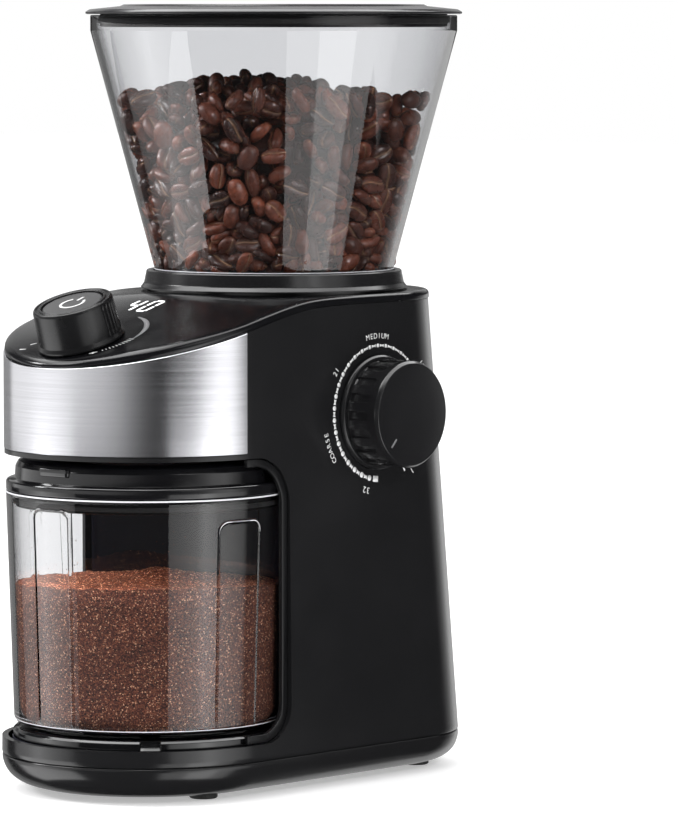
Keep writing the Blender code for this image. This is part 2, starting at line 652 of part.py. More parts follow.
def make_burrs():
    loft("adjusting_ring", "nylon", crown_rings(), wrap=True)
    turned("burr_carrier", "satin_black",
           [(28.0, 186.5), (30.0, 186.5), (30.0, 174.0), (36.1, 173.4), (36.1, 165.8), (33.1, 165.2),
            (33.1, 158.2), (27.3, 158.2), (27.3, 176.6), (24.2, 176.6), (24.2, 178.2)])
    ring_section = [(27.0, 176.2, 0), (27.0, 158.6, 0), (20.4, 158.6, 0.8), (20.8, 166.0, 0.8),
                    (23.4, 176.2, 1.2)]
    loft("ring_burr", "burr_steel", toothed_ring(ring_section, 20, 40, 0.0), wrap=True)
    cone_section = [(4.4, 181.0, 0), (4.4, 157.3, 0), (18.3, 157.3, 0.9), (17.6, 161.0, 0.9),
                    (14.4, 168.0, 1.1), (11.2, 175.0, 1.3), (7.8, 181.0, 0.6)]
    loft("cone_burr", "burr_steel", toothed_ring(cone_section, 10, 40, 0.02), wrap=True)
    rod("burr_shaft", "steel", 4.0, 140.3, 186.6)
    plate("burr_nut", "steel", [circle(7.0, steps=6), circle(4.3, steps=16)], 181.4, 185.6)
    blades = []
    for number in range(5):
        middle = 72 * number
        blades += arc((0, 0), 13.0, middle + 14, middle + 58, 3)
        blades += [(32.2 * math.cos(math.radians(middle + a)), 32.2 * math.sin(math.radians(middle + a)))
                   for a in (68, 76)]
    plate("impeller", "nylon", [blades, circle(4.3, steps=16)], 152.2, 155.6)
    turned("shaft_bearing", "steel", [(4.3, 151.8), (8.0, 151.8), (8.0, 147.6), (4.3, 147.6)], steps=24)


def make_chamber():
    """The grinding chamber on its mounting plate, and the chute from its outlet."""
    low, high = CHAMBER_Z
    chamber = plate("grinding_chamber", "aluminium", [rectangle(-40, -14, 40, 48, 6)], low, high)
    cup = turned("chamber_cup_cutter", None,
                 [(0, 149.9), (33.5, 149.9), (33.5, 163.0), (38.4, 163.0), (38.4, 160.6),
                  (CHAMBER_R, 160.6), (CHAMBER_R, 147.6), (0, 147.6)])
    join(chamber, cup)
    bearing_hole = rod("bearing_hole_cutter", None, 8.3, 140, 155, steps=32)
    outlet = block("outlet_cutter", None, (-9, -42, 150.2), (9, -30, 158.0))
    cut(chamber, bearing_hole, outlet)
    outside = [(-36.6, 148.5), (-52.3, 140.7), (-52.3, 136.4), (-73.7, 136.4), (-73.7, 148.3),
               (-36.6, 159.6)]
    inside = [(-30, 150.2), (-36.6, 150.2), (-54, 141.6), (-54, 130), (-72, 130), (-72, 147.0),
              (-36.6, 158.0), (-30, 158.0)]
    chute = plate("chute", "satin_black", [outside], -CHUTE_HALF, CHUTE_HALF, turn=SIDE_VIEW)
    channel = plate("chute_cutter", None, [inside], -CHUTE_HALF + 1.8, CHUTE_HALF - 1.8, turn=SIDE_VIEW)
    cut(chute, channel)


# ---------------------------------------------------------------- drive and electronics

def make_drive():
    low, high = PLATE_Z
    compound = compound_centre()
    motor = (0, MOTOR_Y)
    wheel_phase = meshed_phase(motor, 0, MOTOR_TEETH, compound, WHEEL_TEETH)
    output_phase = meshed_phase(compound, 0, SMALL_TEETH, (0, 0), OUTPUT_TEETH)

    frame = plate("gearbox_frame", "aluminium",
                  [rectangle(-46, -11, 46, 46, 12), circle(9.4, motor)], low, high)
    for number, (x, y) in enumerate(PILLARS):
        pillar = rod("pillar_%d_cutter" % number, None, 3.4, low + 1, CHAMBER_Z[0] - GAP, at=(x, y, 0),
                     steps=16)
        join(frame, pillar)
    bracket_holes = [circle(4.3)] + [circle(3.7, p, 16) for p in PILLARS if p[1] < 0]
    plate("shaft_bracket", "steel", [rectangle(-40, -13, 40, 7, 4)] + bracket_holes, 140.2, 142.0)

    plate("output_gear", "steel",
          [gear_outline(OUTPUT_TEETH, SLOW_MODULE, output_phase), circle(4.3)], 142.5, 147.1)
    wheel = plate("compound_gear", "nylon", [gear_outline(WHEEL_TEETH, FAST_MODULE, wheel_phase)],
                  124.6, 130.0, at=(*compound, 0))
    small = plate("small_gear_cutter", None, [gear_outline(SMALL_TEETH, SLOW_MODULE, 0)],
                  129.0, 147.1, at=(*compound, 0))
    pin_bore = rod("pin_bore_cutter", None, 2.3, 120, 150, at=(*compound, 0), steps=16)
    join(wheel, small)
    cut(wheel, pin_bore)
    rod("compound_pin", "steel", 2.0, 123.8, 147.2, at=(*compound, 0), steps=16)

    turned("motor_can", "steel",
           [(2.4, 120.7), (9.0, 120.7), (9.0, 119.0), (24.4, 119.0), (MOTOR_R, 117.8), (MOTOR_R, 58.0),
            (23.5, 58.0), (23.5, 116.8), (2.4, 116.8)], at=(*motor, 0), steps=28)
    turned("motor_end_bell", "satin_black",
           [(2.4, 50.6), (8.0, 50.6), (8.0, 54.0), (25.0, 54.0), (25.0, 57.7), (2.4, 57.7)],
           at=(*motor, 0), steps=28)
    turned("motor_armature", "burr_steel",
           [(2.3, 104.0), (9.0, 104.0), (10.0, 100.0), (16.0, 100.0), (16.0, 72.0), (9.0, 66.0),
            (2.3, 66.0)], at=(*motor, 0), steps=20)
    rod("motor_shaft", "steel", 2.0, 51.0, 131.0, at=(*motor, 0), steps=16)
    plate("motor_pinion", "brass", [gear_outline(MOTOR_TEETH, FAST_MODULE, 0), circle(2.3, steps=16)],
          124.4, 130.4, at=(*motor, 0))
    screw = [(0, 125.8), (2.6, 125.8), (3.0, 125.4), (3.0, 123.8), (0, 123.8)]
    for number, angle in enumerate((110, 290), 1):
        x, y = 12 * math.cos(math.radians(angle)), MOTOR_Y + 12 * math.sin(math.radians(angle))
        turned("motor_screw_%d" % number, "steel", screw, at=(x, y, 0), steps=12)


def make_electronics():
    board = plate("power_board", "board_green", [rectangle(-36, -7, 36, 58, 3)], 26.0, 27.6)
    capacitor = rod("capacitor_cutter", None, 8.0, 27.0, 47.0, at=(25, 3, 0), steps=20)
    transformer = block("transformer_cutter", None, (-31, 35, 27.0), (-9, 53, 44.0))
    join(board, capacitor, transformer)
    block("hopper_switch", "satin_black", (-3.2, -10, 182.6), (3.2, 10, 193.0), at=(-34, 33, 0),
          turn=(0, 0, math.radians(-45)), bevel=0.5)


def main():
    start_scene()
    make_housing()
    make_band()
    make_bay()
    make_base()
    make_cord_inlet()
    make_top_cover()
    make_control_panel()
    make_hopper()
    make_container()
    make_dial()
    make_burrs()
    make_chamber()
    make_drive()
    make_electronics()


main()
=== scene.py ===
"""Looks of the burr coffee grinder: clear hopper with beans, satin and gloss plastic, a brushed
steel band, a container of ground coffee, and the printing round the two dials.

Lengths are in millimetres from the burr axis unless a name says otherwise, and MM turns them into
the row frame's metres. The grinder's front is towards -Y and the grind dial towards +X.
"""

import json
import math

import bpy
import numpy as np
from mathutils import Matrix, Vector, noise


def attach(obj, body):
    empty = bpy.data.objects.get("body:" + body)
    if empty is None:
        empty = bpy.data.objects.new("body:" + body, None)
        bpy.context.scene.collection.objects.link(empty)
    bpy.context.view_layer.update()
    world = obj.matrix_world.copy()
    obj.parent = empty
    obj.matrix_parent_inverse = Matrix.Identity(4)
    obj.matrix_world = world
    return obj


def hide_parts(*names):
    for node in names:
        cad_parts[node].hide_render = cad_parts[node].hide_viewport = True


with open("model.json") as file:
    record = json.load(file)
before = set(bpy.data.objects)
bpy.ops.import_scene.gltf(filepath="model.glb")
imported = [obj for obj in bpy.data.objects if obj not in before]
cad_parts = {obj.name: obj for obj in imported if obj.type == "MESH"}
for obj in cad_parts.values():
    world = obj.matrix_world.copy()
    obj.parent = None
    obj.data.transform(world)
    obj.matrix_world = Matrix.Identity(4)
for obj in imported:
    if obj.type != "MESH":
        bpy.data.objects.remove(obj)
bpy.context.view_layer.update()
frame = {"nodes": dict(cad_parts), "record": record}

MM = 0.001
BURR_Y = 28.855
CUP_Y = -76.35
DIAL_Z = 152.5
KNOB_AT = (0.0, -114.0, 184.3)
PANEL_TILT = math.radians(19.0)
HOUSING_HALF = 57.6
SEED = 11
INK = 0.00005


# ---------------------------------------------------------------- materials

class Nodes:
    """A material's node tree with short ways to add and link nodes."""

    def __init__(self, name):
        self.material = bpy.data.materials.new(name)
        self.material.use_nodes = True
        self.tree = self.material.node_tree
        self.shader = self.tree.nodes["Principled BSDF"]
        self.output = self.tree.nodes["Material Output"]
        self.place = self.add("ShaderNodeTexCoord").outputs["Object"]

    def add(self, kind, **values):
        node = self.tree.nodes.new(kind)
        for key, value in values.items():
            setattr(node, key, value)
        return node

    def link(self, start, end):
        self.tree.links.new(start, end)

    def fill(self, node, **values):
        for key, value in values.items():
            socket = node.inputs[key.replace("_", " ")]
            if isinstance(value, bpy.types.NodeSocket):
                self.link(value, socket)
            else:
                socket.default_value = value
        return node

    def stretch(self, scale, vector=None):
        node = self.add("ShaderNodeMapping")
        self.link(vector or self.place, node.inputs["Vector"])
        node.inputs["Scale"].default_value = scale
        return node.outputs["Vector"]

    def noise(self, scale, detail=3.0, roughness=0.5, vector=None):
        node = self.add("ShaderNodeTexNoise")
        self.fill(node, Vector=vector or self.place, Scale=scale, Detail=detail, Roughness=roughness)
        return node.outputs["Fac"]

    def voronoi(self, scale, vector=None, output="Color"):
        node = self.add("ShaderNodeTexVoronoi")
        self.fill(node, Vector=vector or self.place, Scale=scale)
        return node.outputs[output]

    def attribute(self, name):
        return self.add("ShaderNodeAttribute", attribute_name=name).outputs["Fac"]

    def spread(self, value, low, high, start=0.0, end=1.0):
        node = self.add("ShaderNodeMapRange")
        self.fill(node, Value=value, From_Min=start, From_Max=end, To_Min=low, To_Max=high)
        return node.outputs["Result"]

    def math(self, operation, a, b):
        node = self.add("ShaderNodeMath", operation=operation)
        for socket, value in zip(node.inputs, (a, b)):
            if isinstance(value, bpy.types.NodeSocket):
                self.link(value, socket)
            else:
                socket.default_value = value
        return node.outputs["Value"]

    def ramp(self, value, stops):
        node = self.add("ShaderNodeValToRGB")
        ramp = node.color_ramp
        for number, (position, colour) in enumerate(stops):
            stop = ramp.elements[number] if number < 2 else ramp.elements.new(position)
            stop.position = position
            stop.color = (*colour, 1.0)
        self.link(value, node.inputs["Fac"])
        return node.outputs["Color"]

    def mix(self, share, a, b):
        node = self.add("ShaderNodeMix", data_type="RGBA")
        for socket, value in ((node.inputs[0], share), (node.inputs[6], a), (node.inputs[7], b)):
            if isinstance(value, bpy.types.NodeSocket):
                self.link(value, socket)
            elif isinstance(value, tuple):
                socket.default_value = (*value, 1.0)
            else:
                socket.default_value = value
        return node.outputs[2]

    def bump(self, height, strength, distance=0.0001):
        node = self.add("ShaderNodeBump")
        self.fill(node, Height=height, Strength=strength, Distance=distance)
        self.link(node.outputs["Normal"], self.shader.inputs["Normal"])

    def surface(self, **values):
        self.fill(self.shader, **values)
        return self.material


class WorldNodes(Nodes):
    """The world's node tree, with the same short ways."""

    def __init__(self, world):
        self.tree = world.node_tree

    def blend(self, share, a, b):
        node = self.fill(self.add("ShaderNodeMix"), Factor=share, A=a, B=b)
        return node.outputs["Result"]


def moulded(name, colour, roughness, grain=0.25, specular=0.5):
    """Moulded plastic: fine grain, faint cloudy change of gloss, dust-fine colour change."""
    n = Nodes(name)
    fine = n.noise(2600.0, 2.0, 0.6)
    cloud = n.noise(22.0, 4.0, 0.55)
    gloss = n.spread(cloud, roughness - 0.04, roughness + 0.05, 0.3, 0.7)
    lighter = tuple(c * 1.35 + 0.001 for c in colour)
    n.bump(fine, grain, 0.00004)
    return n.surface(Base_Color=n.mix(cloud, colour, lighter), Roughness=gloss,
                     Specular_IOR_Level=specular)


def gloss(name, colour, roughness=0.1, specular=0.5):
    """Polished plastic with very slight ripples and polishing haze."""
    n = Nodes(name)
    haze = n.noise(60.0, 5.0, 0.6)
    ripple = n.noise(9.0, 2.0, 0.4)
    n.bump(ripple, 0.12, 0.0004)
    return n.surface(Base_Color=n.mix(haze, colour, tuple(c * 1.3 for c in colour)),
                     Roughness=n.spread(haze, roughness * 0.8, roughness * 1.3, 0.35, 0.7),
                     Specular_IOR_Level=specular)


def brushed(name, colour, roughness, streak_scale, anisotropy):
    """Metal brushed along one direction; streak_scale stretches the streaks."""
    n = Nodes(name)
    lines = n.noise(1.0, 6.0, 0.65, n.stretch(streak_scale))
    broad = n.noise(1.0, 3.0, 0.5, n.stretch(tuple(s * 0.16 for s in streak_scale)))
    both = n.math("ADD", n.math("MULTIPLY", lines, 0.7), n.math("MULTIPLY", broad, 0.3))
    n.bump(lines, 0.045, 0.00002)
    dark = tuple(c * 0.86 for c in colour)
    tangent = n.add("ShaderNodeTangent", direction_type="RADIAL", axis="Z")
    n.link(tangent.outputs["Tangent"], n.shader.inputs["Tangent"])
    return n.surface(Base_Color=n.mix(n.spread(both, 0.0, 1.0, 0.35, 0.65), dark, colour), Metallic=1.0,
                     Roughness=n.spread(both, roughness - 0.02, roughness + 0.03, 0.35, 0.65),
                     Anisotropic=anisotropy)


def metal(name, colour, roughness):
    n = Nodes(name)
    patches = n.noise(240.0, 5.0, 0.6)
    n.bump(n.noise(1400.0, 3.0), 0.2, 0.00003)
    return n.surface(Base_Color=n.mix(patches, tuple(c * 0.8 for c in colour), colour), Metallic=1.0,
                     Roughness=n.spread(patches, roughness - 0.06, roughness + 0.1, 0.3, 0.7))


def clear_plastic(name, tint, shade):
    """Clear moulded plastic. Lamps shine through it, so that what it holds is lit."""
    n = Nodes(name)
    haze = n.noise(35.0, 4.0, 0.5)
    n.surface(Base_Color=(*tint, 1.0), Roughness=n.spread(haze, 0.0, 0.03, 0.45, 0.8), IOR=1.5,
              Transmission_Weight=1.0)
    path = n.add("ShaderNodeLightPath")
    through = n.add("ShaderNodeBsdfTransparent")
    through.inputs["Color"].default_value = (*shade, 1.0)
    either = n.add("ShaderNodeMixShader")
    n.link(path.outputs["Is Shadow Ray"], either.inputs[0])
    n.link(n.shader.outputs[0], either.inputs[1])
    n.link(through.outputs[0], either.inputs[2])
    n.link(either.outputs[0], n.output.inputs["Surface"])
    return n.material


def printed(name, colour):
    n = Nodes(name)
    wear = n.noise(900.0, 3.0, 0.6)
    return n.surface(Base_Color=n.mix(wear, tuple(c * 0.86 for c in colour), colour), Roughness=0.45)


def glowing(name, colour, strength):
    n = Nodes(name)
    n.shader.inputs["Base Color"].default_value = (*colour, 1.0)
    n.shader.inputs["Roughness"].default_value = 0.3
    n.shader.inputs["Emission Color"].default_value = (*colour, 1.0)
    n.shader.inputs["Emission Strength"].default_value = strength
    return n.material


def roasted_bean(name):
    """Oily roasted coffee: tone and crease come from the mesh, wrinkles from noise."""
    n = Nodes(name)
    tone = n.attribute("tone")
    skin = n.ramp(tone, [(0.0, (0.040, 0.014, 0.010)), (1.0, (0.33, 0.090, 0.047)),
                         (0.45, (0.135, 0.041, 0.025))])
    mottled = n.mix(n.spread(n.noise(420.0, 4.0, 0.6), 0.0, 0.65, 0.35, 0.75), skin, (0.022, 0.008, 0.006))
    colour = n.mix(n.attribute("crease"), mottled, (0.42, 0.24, 0.13))
    n.bump(n.noise(380.0, 5.0, 0.7), 0.9, 0.00045)
    return n.surface(Base_Color=colour, Roughness=n.spread(n.noise(160.0), 0.22, 0.36, 0.35, 0.7),
                     Coat_Weight=0.9, Coat_Roughness=0.13)


def ground_coffee(name):
    n = Nodes(name)
    grain = n.voronoi(2300.0)
    share = n.add("ShaderNodeSeparateColor")
    n.link(grain, share.inputs["Color"])
    # The palest grains, nearly cream, are painted highlights on single grains; the other stops are the
    # grains' own browns.
    colour = n.ramp(share.outputs["Red"], [(0.0, (0.018, 0.005, 0.003)), (1.0, (0.80, 0.46, 0.27)),
                                           (0.35, (0.070, 0.018, 0.010)), (0.78, (0.170, 0.048, 0.023)),
                                           (0.92, (0.27, 0.088, 0.040))])
    # Random patches, times the top surface painted up to three times lighter than the sides: painted light
    # where the top of the heap catches the lamps.
    patches_and_painted_top_light = n.math("MULTIPLY", n.spread(n.noise(45.0, 4.0, 0.6), 1.0, 1.6, 0.3, 0.7),
                   n.spread(n.attribute("top"), 1.0, 3.0))
    shade = n.add("ShaderNodeVectorMath", operation="SCALE")
    n.link(colour, shade.inputs[0])
    n.link(patches_and_painted_top_light, shade.inputs["Scale"])
    height = n.math("ADD", share.outputs["Green"], n.noise(900.0, 3.0))
    n.bump(height, 1.0, 0.0007)
    return n.surface(Base_Color=shade.outputs[0], Roughness=0.62, Specular_IOR_Level=0.3)


finishes = {
    "shell": moulded("satin_shell", (0.0072, 0.0072, 0.0078), 0.17, 0.08, 0.38),
    "satin": moulded("satin_black", (0.010, 0.010, 0.011), 0.33, 0.3),
    "inner": moulded("inner_black", (0.0095, 0.0095, 0.020), 0.5, 0.3, 0.3),
    "gloss": gloss("gloss_black", (0.0045, 0.0045, 0.0052), 0.10),
    "panel": gloss("panel_black", (0.0040, 0.0040, 0.0048), 0.17, 0.28),
    "lid": moulded("lid_black", (0.011, 0.011, 0.012), 0.2, 0.1, 0.4),
    "knob": moulded("knob_black", (0.0055, 0.0055, 0.0060), 0.24, 0.08, 0.26),
    "dial": moulded("dial_black", (0.0075, 0.0075, 0.0082), 0.22, 0.08, 0.45),
    # Light grey and opaque: painted highlights on the clear pieces' rims, feet and arch.
    "edge": moulded("painted_highlight_edge", (0.62, 0.62, 0.65), 0.2, 0.05, 0.6),
    "rubber": moulded("soft_rubber", (0.014, 0.014, 0.014), 0.7, 0.8, 0.3),
    "band": brushed("brushed_band", (0.66, 0.66, 0.69), 0.17, (16.0, 16.0, 2600.0), 0.3),
    "steel": metal("plain_steel", (0.55, 0.55, 0.56), 0.3),
    "burrs": metal("ground_steel", (0.35, 0.35, 0.36), 0.36),
    "brass": metal("brass_pinion", (0.72, 0.52, 0.22), 0.3),
    "alloy": metal("cast_alloy", (0.6, 0.6, 0.61), 0.42),
    "nylon": moulded("nylon_natural", (0.66, 0.65, 0.58), 0.45),
    "board": moulded("board_green", (0.012, 0.13, 0.05), 0.35, 0.5),
    "clear": clear_plastic("clear_plastic", (0.955, 0.957, 0.968), (0.93, 0.93, 0.94)),
    "hopper_clear": clear_plastic("hopper_plastic", (0.865, 0.87, 0.885), (0.92, 0.92, 0.93)),
    "print": printed("white_print", (0.80, 0.80, 0.80)),
    "print_grey": printed("grey_print", (0.16, 0.16, 0.165)),
    "digits": glowing("display_light", (1.0, 1.0, 1.0), 1.1),
    "beans": roasted_bean("roasted_beans"),
    "grounds": ground_coffee("ground_coffee"),
}

SLOT_FINISH = {"satin_black": "satin", "gloss_black": "gloss", "brushed_steel": "band", "clear": "clear",
               "rubber": "rubber", "burr_steel": "burrs", "steel": "steel", "brass": "brass",
               "nylon": "nylon", "board_green": "board", "aluminium": "alloy"}
NODE_FINISH = {"main_housing": "shell", "base_cover": "shell", "bay_liner": "inner", "chute": "inner",
               "dial_flange": "satin", "cup_seat": "gloss"}


def dress_nodes():
    """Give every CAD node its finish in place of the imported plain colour."""
    for entry in frame["record"]["subparts"]:
        mesh = frame["nodes"][entry["node"]].data
        finish = NODE_FINISH.get(entry["node"], SLOT_FINISH[entry["material_slot"]])
        mesh.materials.clear()
        mesh.materials.append(finishes[finish])


# ---------------------------------------------------------------- mesh helpers

def piece(name, points, faces, finish, body, replaced=(), sharp=32.0):
    """A mesh in the row frame from millimetre points about the burr axis."""
    mesh = bpy.data.meshes.new(name)
    at = (np.asarray(points, float) + (0.0, BURR_Y, 0.0)) * MM
    mesh.from_pydata(at.tolist(), [], faces)
    mesh.validate()
    mesh.shade_smooth()
    if sharp:
        mesh.set_sharp_from_angle(angle=math.radians(sharp))
    mesh.materials.append(finishes[finish])
    thing = bpy.data.objects.new(name, mesh)
    bpy.context.scene.collection.objects.link(thing)
    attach(thing, body)
    if replaced:
        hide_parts(*replaced)
    return thing


def grid_faces(rows, columns, wrap_rows=False, wrap_columns=True, first=0):
    faces = []
    for i in range(rows if wrap_rows else rows - 1):
        for j in range(columns if wrap_columns else columns - 1):
            a, b = i * columns + j, i * columns + (j + 1) % columns
            c, d = ((i + 1) % rows) * columns + (j + 1) % columns, ((i + 1) % rows) * columns + j
            faces.append((first + a, first + b, first + c, first + d))
    return faces


def cap_faces(tip, row, count):
    """Faces from a tip point to a ring of points; the first ring's faces look the other way."""
    pairs = [(row * count + j, row * count + (j + 1) % count) for j in range(count)]
    return [(tip, b, a) if row == 0 else (tip, a, b) for a, b in pairs]


def soften(corners, steps=5, closed=False):
    """An outline through (x, y, radius) corners with each corner rounded by its radius."""
    points = []
    last = len(corners) - 1
    for i, (x, y, radius) in enumerate(corners):
        corner = Vector((x, y))
        if radius == 0 or (not closed and i in (0, last)):
            points.append((x, y))
            continue
        before = (Vector(corners[i - 1][:2]) - corner).normalized()
        after = (Vector(corners[(i + 1) % len(corners)][:2]) - corner).normalized()
        half = before.angle(after) / 2
        centre = corner + (before + after).normalized() * radius / math.sin(half)
        start = corner + before * radius / math.tan(half) - centre
        end = corner + after * radius / math.tan(half) - centre
        for k in range(steps + 1):
            points.append(tuple(centre + start.lerp(end, k / steps).normalized() * radius))
    return points


def lathe(name, profile, finish, body, replaced=(), steps=144, centre=(0.0, 0.0), frame_of=None,
          closed=True, sharp=32.0, angles=None, offset=None):
    """Turn (r, z) points round Z. A profile that starts and ends on the axis gets closed tips.
    offset(angle, r, z) may move a point outwards; frame_of is a matrix for pieces on a tilted axis."""
    angles = angles or [math.tau * i / steps for i in range(steps)]
    area = sum(r0 * z1 - r1 * z0 for (r0, z0), (r1, z1) in zip(profile, profile[1:] + profile[:1]))
    outline = profile if area > 0 else profile[::-1]
    tips = closed and outline[0][0] == 0
    rings = outline[1:-1] if tips else outline
    points = []
    for r, z in rings:
        for a in angles:
            out = r + (offset(a, r, z) if offset else 0.0)
            points.append((out * math.cos(a), out * math.sin(a), z))
    faces = grid_faces(len(rings), len(angles), wrap_rows=closed and not tips)
    if tips:
        count = len(angles)
        for tip, row in ((outline[0], 0), (outline[-1], len(rings) - 1)):
            points.append((0.0, 0.0, tip[1]))
            faces += cap_faces(len(points) - 1, row, count)
    points = np.array(points)
    if frame_of is not None:
        turned = np.array(frame_of.to_3x3())
        points = points @ turned.T + np.array(frame_of.translation)
    points = points + (centre[0], centre[1], 0.0)
    return piece(name, points, faces, finish, body, replaced, sharp)


def solid(name, points, faces, *modifiers):
    """A plain object in millimetres, used to build or cut a shape and then removed."""
    mesh = bpy.data.meshes.new(name)
    mesh.from_pydata([tuple(p) for p in points], [], faces)
    thing = bpy.data.objects.new(name, mesh)
    bpy.context.scene.collection.objects.link(thing)
    for kind, values in modifiers:
        modifier = thing.modifiers.new(kind.lower(), kind)
        for key, value in values.items():
            setattr(modifier, key, value)
    return thing


def prism(outline, low, high, turned_up=False):
    """Points and faces of a straight solid from z low to high. turned_up puts an outline of
    (back, up) points in the side view, from x low to high."""
    count = len(outline)
    area = sum(a[0] * b[1] - b[0] * a[1] for a, b in zip(outline, outline[1:] + outline[:1]))
    path = outline if area > 0 else outline[::-1]
    points = [(x, y, low) for x, y in path] + [(x, y, high) for x, y in path]
    if turned_up:
        points = [(z, x, y) for x, y, z in points]
    faces = [tuple(range(count))[::-1], tuple(range(count, 2 * count))]
    faces += [(i, (i + 1) % count, (i + 1) % count + count, i + count) for i in range(count)]
    return points, faces


def carved(thing, *tools):
    """The shape left once the tools are cut away, as points and faces. All of them are removed."""
    for tool in tools:
        modifier = thing.modifiers.new("cut", "BOOLEAN")
        modifier.operation = "DIFFERENCE"
        modifier.solver = "EXACT"
        modifier.object = tool
    bpy.context.view_layer.update()
    result = thing.evaluated_get(bpy.context.evaluated_depsgraph_get()).to_mesh()
    points = [tuple(v.co) for v in result.vertices]
    faces = [tuple(polygon.vertices) for polygon in result.polygons]
    for used in (thing, *tools):
        bpy.data.objects.remove(used)
    return points, faces


def through(points, share_steps=6):
    """A smooth line through a list of points."""
    rows = [Vector(p) for p in (points[0], *points, points[-1])]
    line = []
    for a, b, c, d in zip(rows, rows[1:], rows[2:], rows[3:]):
        for k in range(share_steps):
            t = k / share_steps
            line.append(tuple((b * 2 + (c - a) * t + (a * 2 - b * 5 + c * 4 - d) * t * t
                               + (b * 3 - a - c * 3 + d) * t ** 3) / 2))
    line.append(tuple(rows[-1]))
    return line


def placed(at, turn=(0.0, 0.0, 0.0)):
    return Matrix.Translation(at) @ Matrix.Rotation(turn[2], 4, "Z") @ Matrix.Rotation(turn[1], 4, "Y") \
        @ Matrix.Rotation(turn[0], 4, "X")


knob_frame = placed(KNOB_AT, (PANEL_TILT, 0, 0))
dial_frame = placed((0.0, 0.0, DIAL_Z), (0, math.pi / 2, 0))


# ---------------------------------------------------------------- hopper and beans

HOPPER_IN = ((47.4, 210.2), (73.9, 309.6))
BEAN_TOP = 281.0


def make_hopper():
    wall = soften([(73.9, 315.6, 0), (76.4, 315.6, 0.5), (76.4, 309.2, 2.0), (49.8, 209.8, 1.2),
                   (49.8, 203.2, 0.5), (47.4, 203.2, 0.5), (47.4, 210.2, 1.0), (73.9, 309.6, 2.0)],
                  closed=True)
    lathe("hopper_clear", wall, "hopper_clear", "hopper", ("hopper",), steps=180)
    lid = soften([(0, 320.0, 0), (62.5, 320.0, 0.6), (64.0, 319.3, 0.8), (76.6, 318.0, 0.8),
                  (78.4, 317.0, 0.5), (78.4, 316.2, 0.3), (77.6, 315.95, 0.2), (72.3, 315.95, 0.2),
                  (72.3, 310.6, 0.4), (70.4, 310.6, 0.4), (70.4, 316.4, 0.6), (62.0, 318.0, 0.8),
                  (0, 318.0, 0)])
    lathe("hopper_lid_shell", lid, "lid", "hopper_lid", ("hopper_lid",), steps=180)


def bean_shape():
    """One bean: domed back, flat belly with a curved crease. Returns points, faces and crease."""
    length, width, back, belly = 11.3, 8.0, 3.5, 2.0
    around = [("back", math.pi * k / 7) for k in range(8)]
    around += [("belly", y) for y in (-0.93, -0.72, -0.42, -0.2, -0.09, 0.0, 0.09, 0.2, 0.42, 0.72, 0.93)]
    stations = [math.pi * k / 11 for k in range(1, 11)]
    points, crease = [], []
    for v in stations:
        x = math.cos(v) * length / 2
        girth = math.sin(v) ** 0.8
        for side, value in around:
            if side == "back":
                points.append((x, math.cos(value) * girth * width / 2, math.sin(value) * girth * back))
                crease.append(0.0)
                continue
            y = value * girth * width / 2
            middle = 0.35 * math.sin(x * 0.55)
            depth = math.exp(-((y - middle) / 0.42) ** 2)
            flat = -belly * girth ** 0.7 * (1 - abs(value) ** 3) ** 0.5
            points.append((x, y, flat + 0.85 * depth * girth))
            crease.append(math.exp(-((y - middle) / 0.3) ** 2) * 0.9)
    count = len(around)
    faces = grid_faces(len(stations), count)
    for x, row in ((length / 2, 0), (-length / 2, len(stations) - 1)):
        points.append((x, 0.0, 0.2))
        crease.append(0.2)
        faces += cap_faces(len(points) - 1, row, count)
    return np.array(points), np.array(faces, dtype=object), np.array(crease)


def turn_by(matrices, vectors):
    """Turn each matrix by a small rotation vector, and keep it a rotation."""
    angle = np.linalg.norm(vectors, axis=1, keepdims=True)
    axis = vectors / np.maximum(angle, 1e-9)
    angle = np.clip(angle, 0, 0.25)[:, :, None]
    skew = np.zeros((len(vectors), 3, 3))
    skew[:, 0, 1], skew[:, 0, 2] = -axis[:, 2], axis[:, 1]
    skew[:, 1, 0], skew[:, 1, 2] = axis[:, 2], -axis[:, 0]
    skew[:, 2, 0], skew[:, 2, 1] = -axis[:, 1], axis[:, 0]
    turn = np.eye(3) + np.sin(angle) * skew + (1 - np.cos(angle)) * (skew @ skew)
    return turn @ matrices


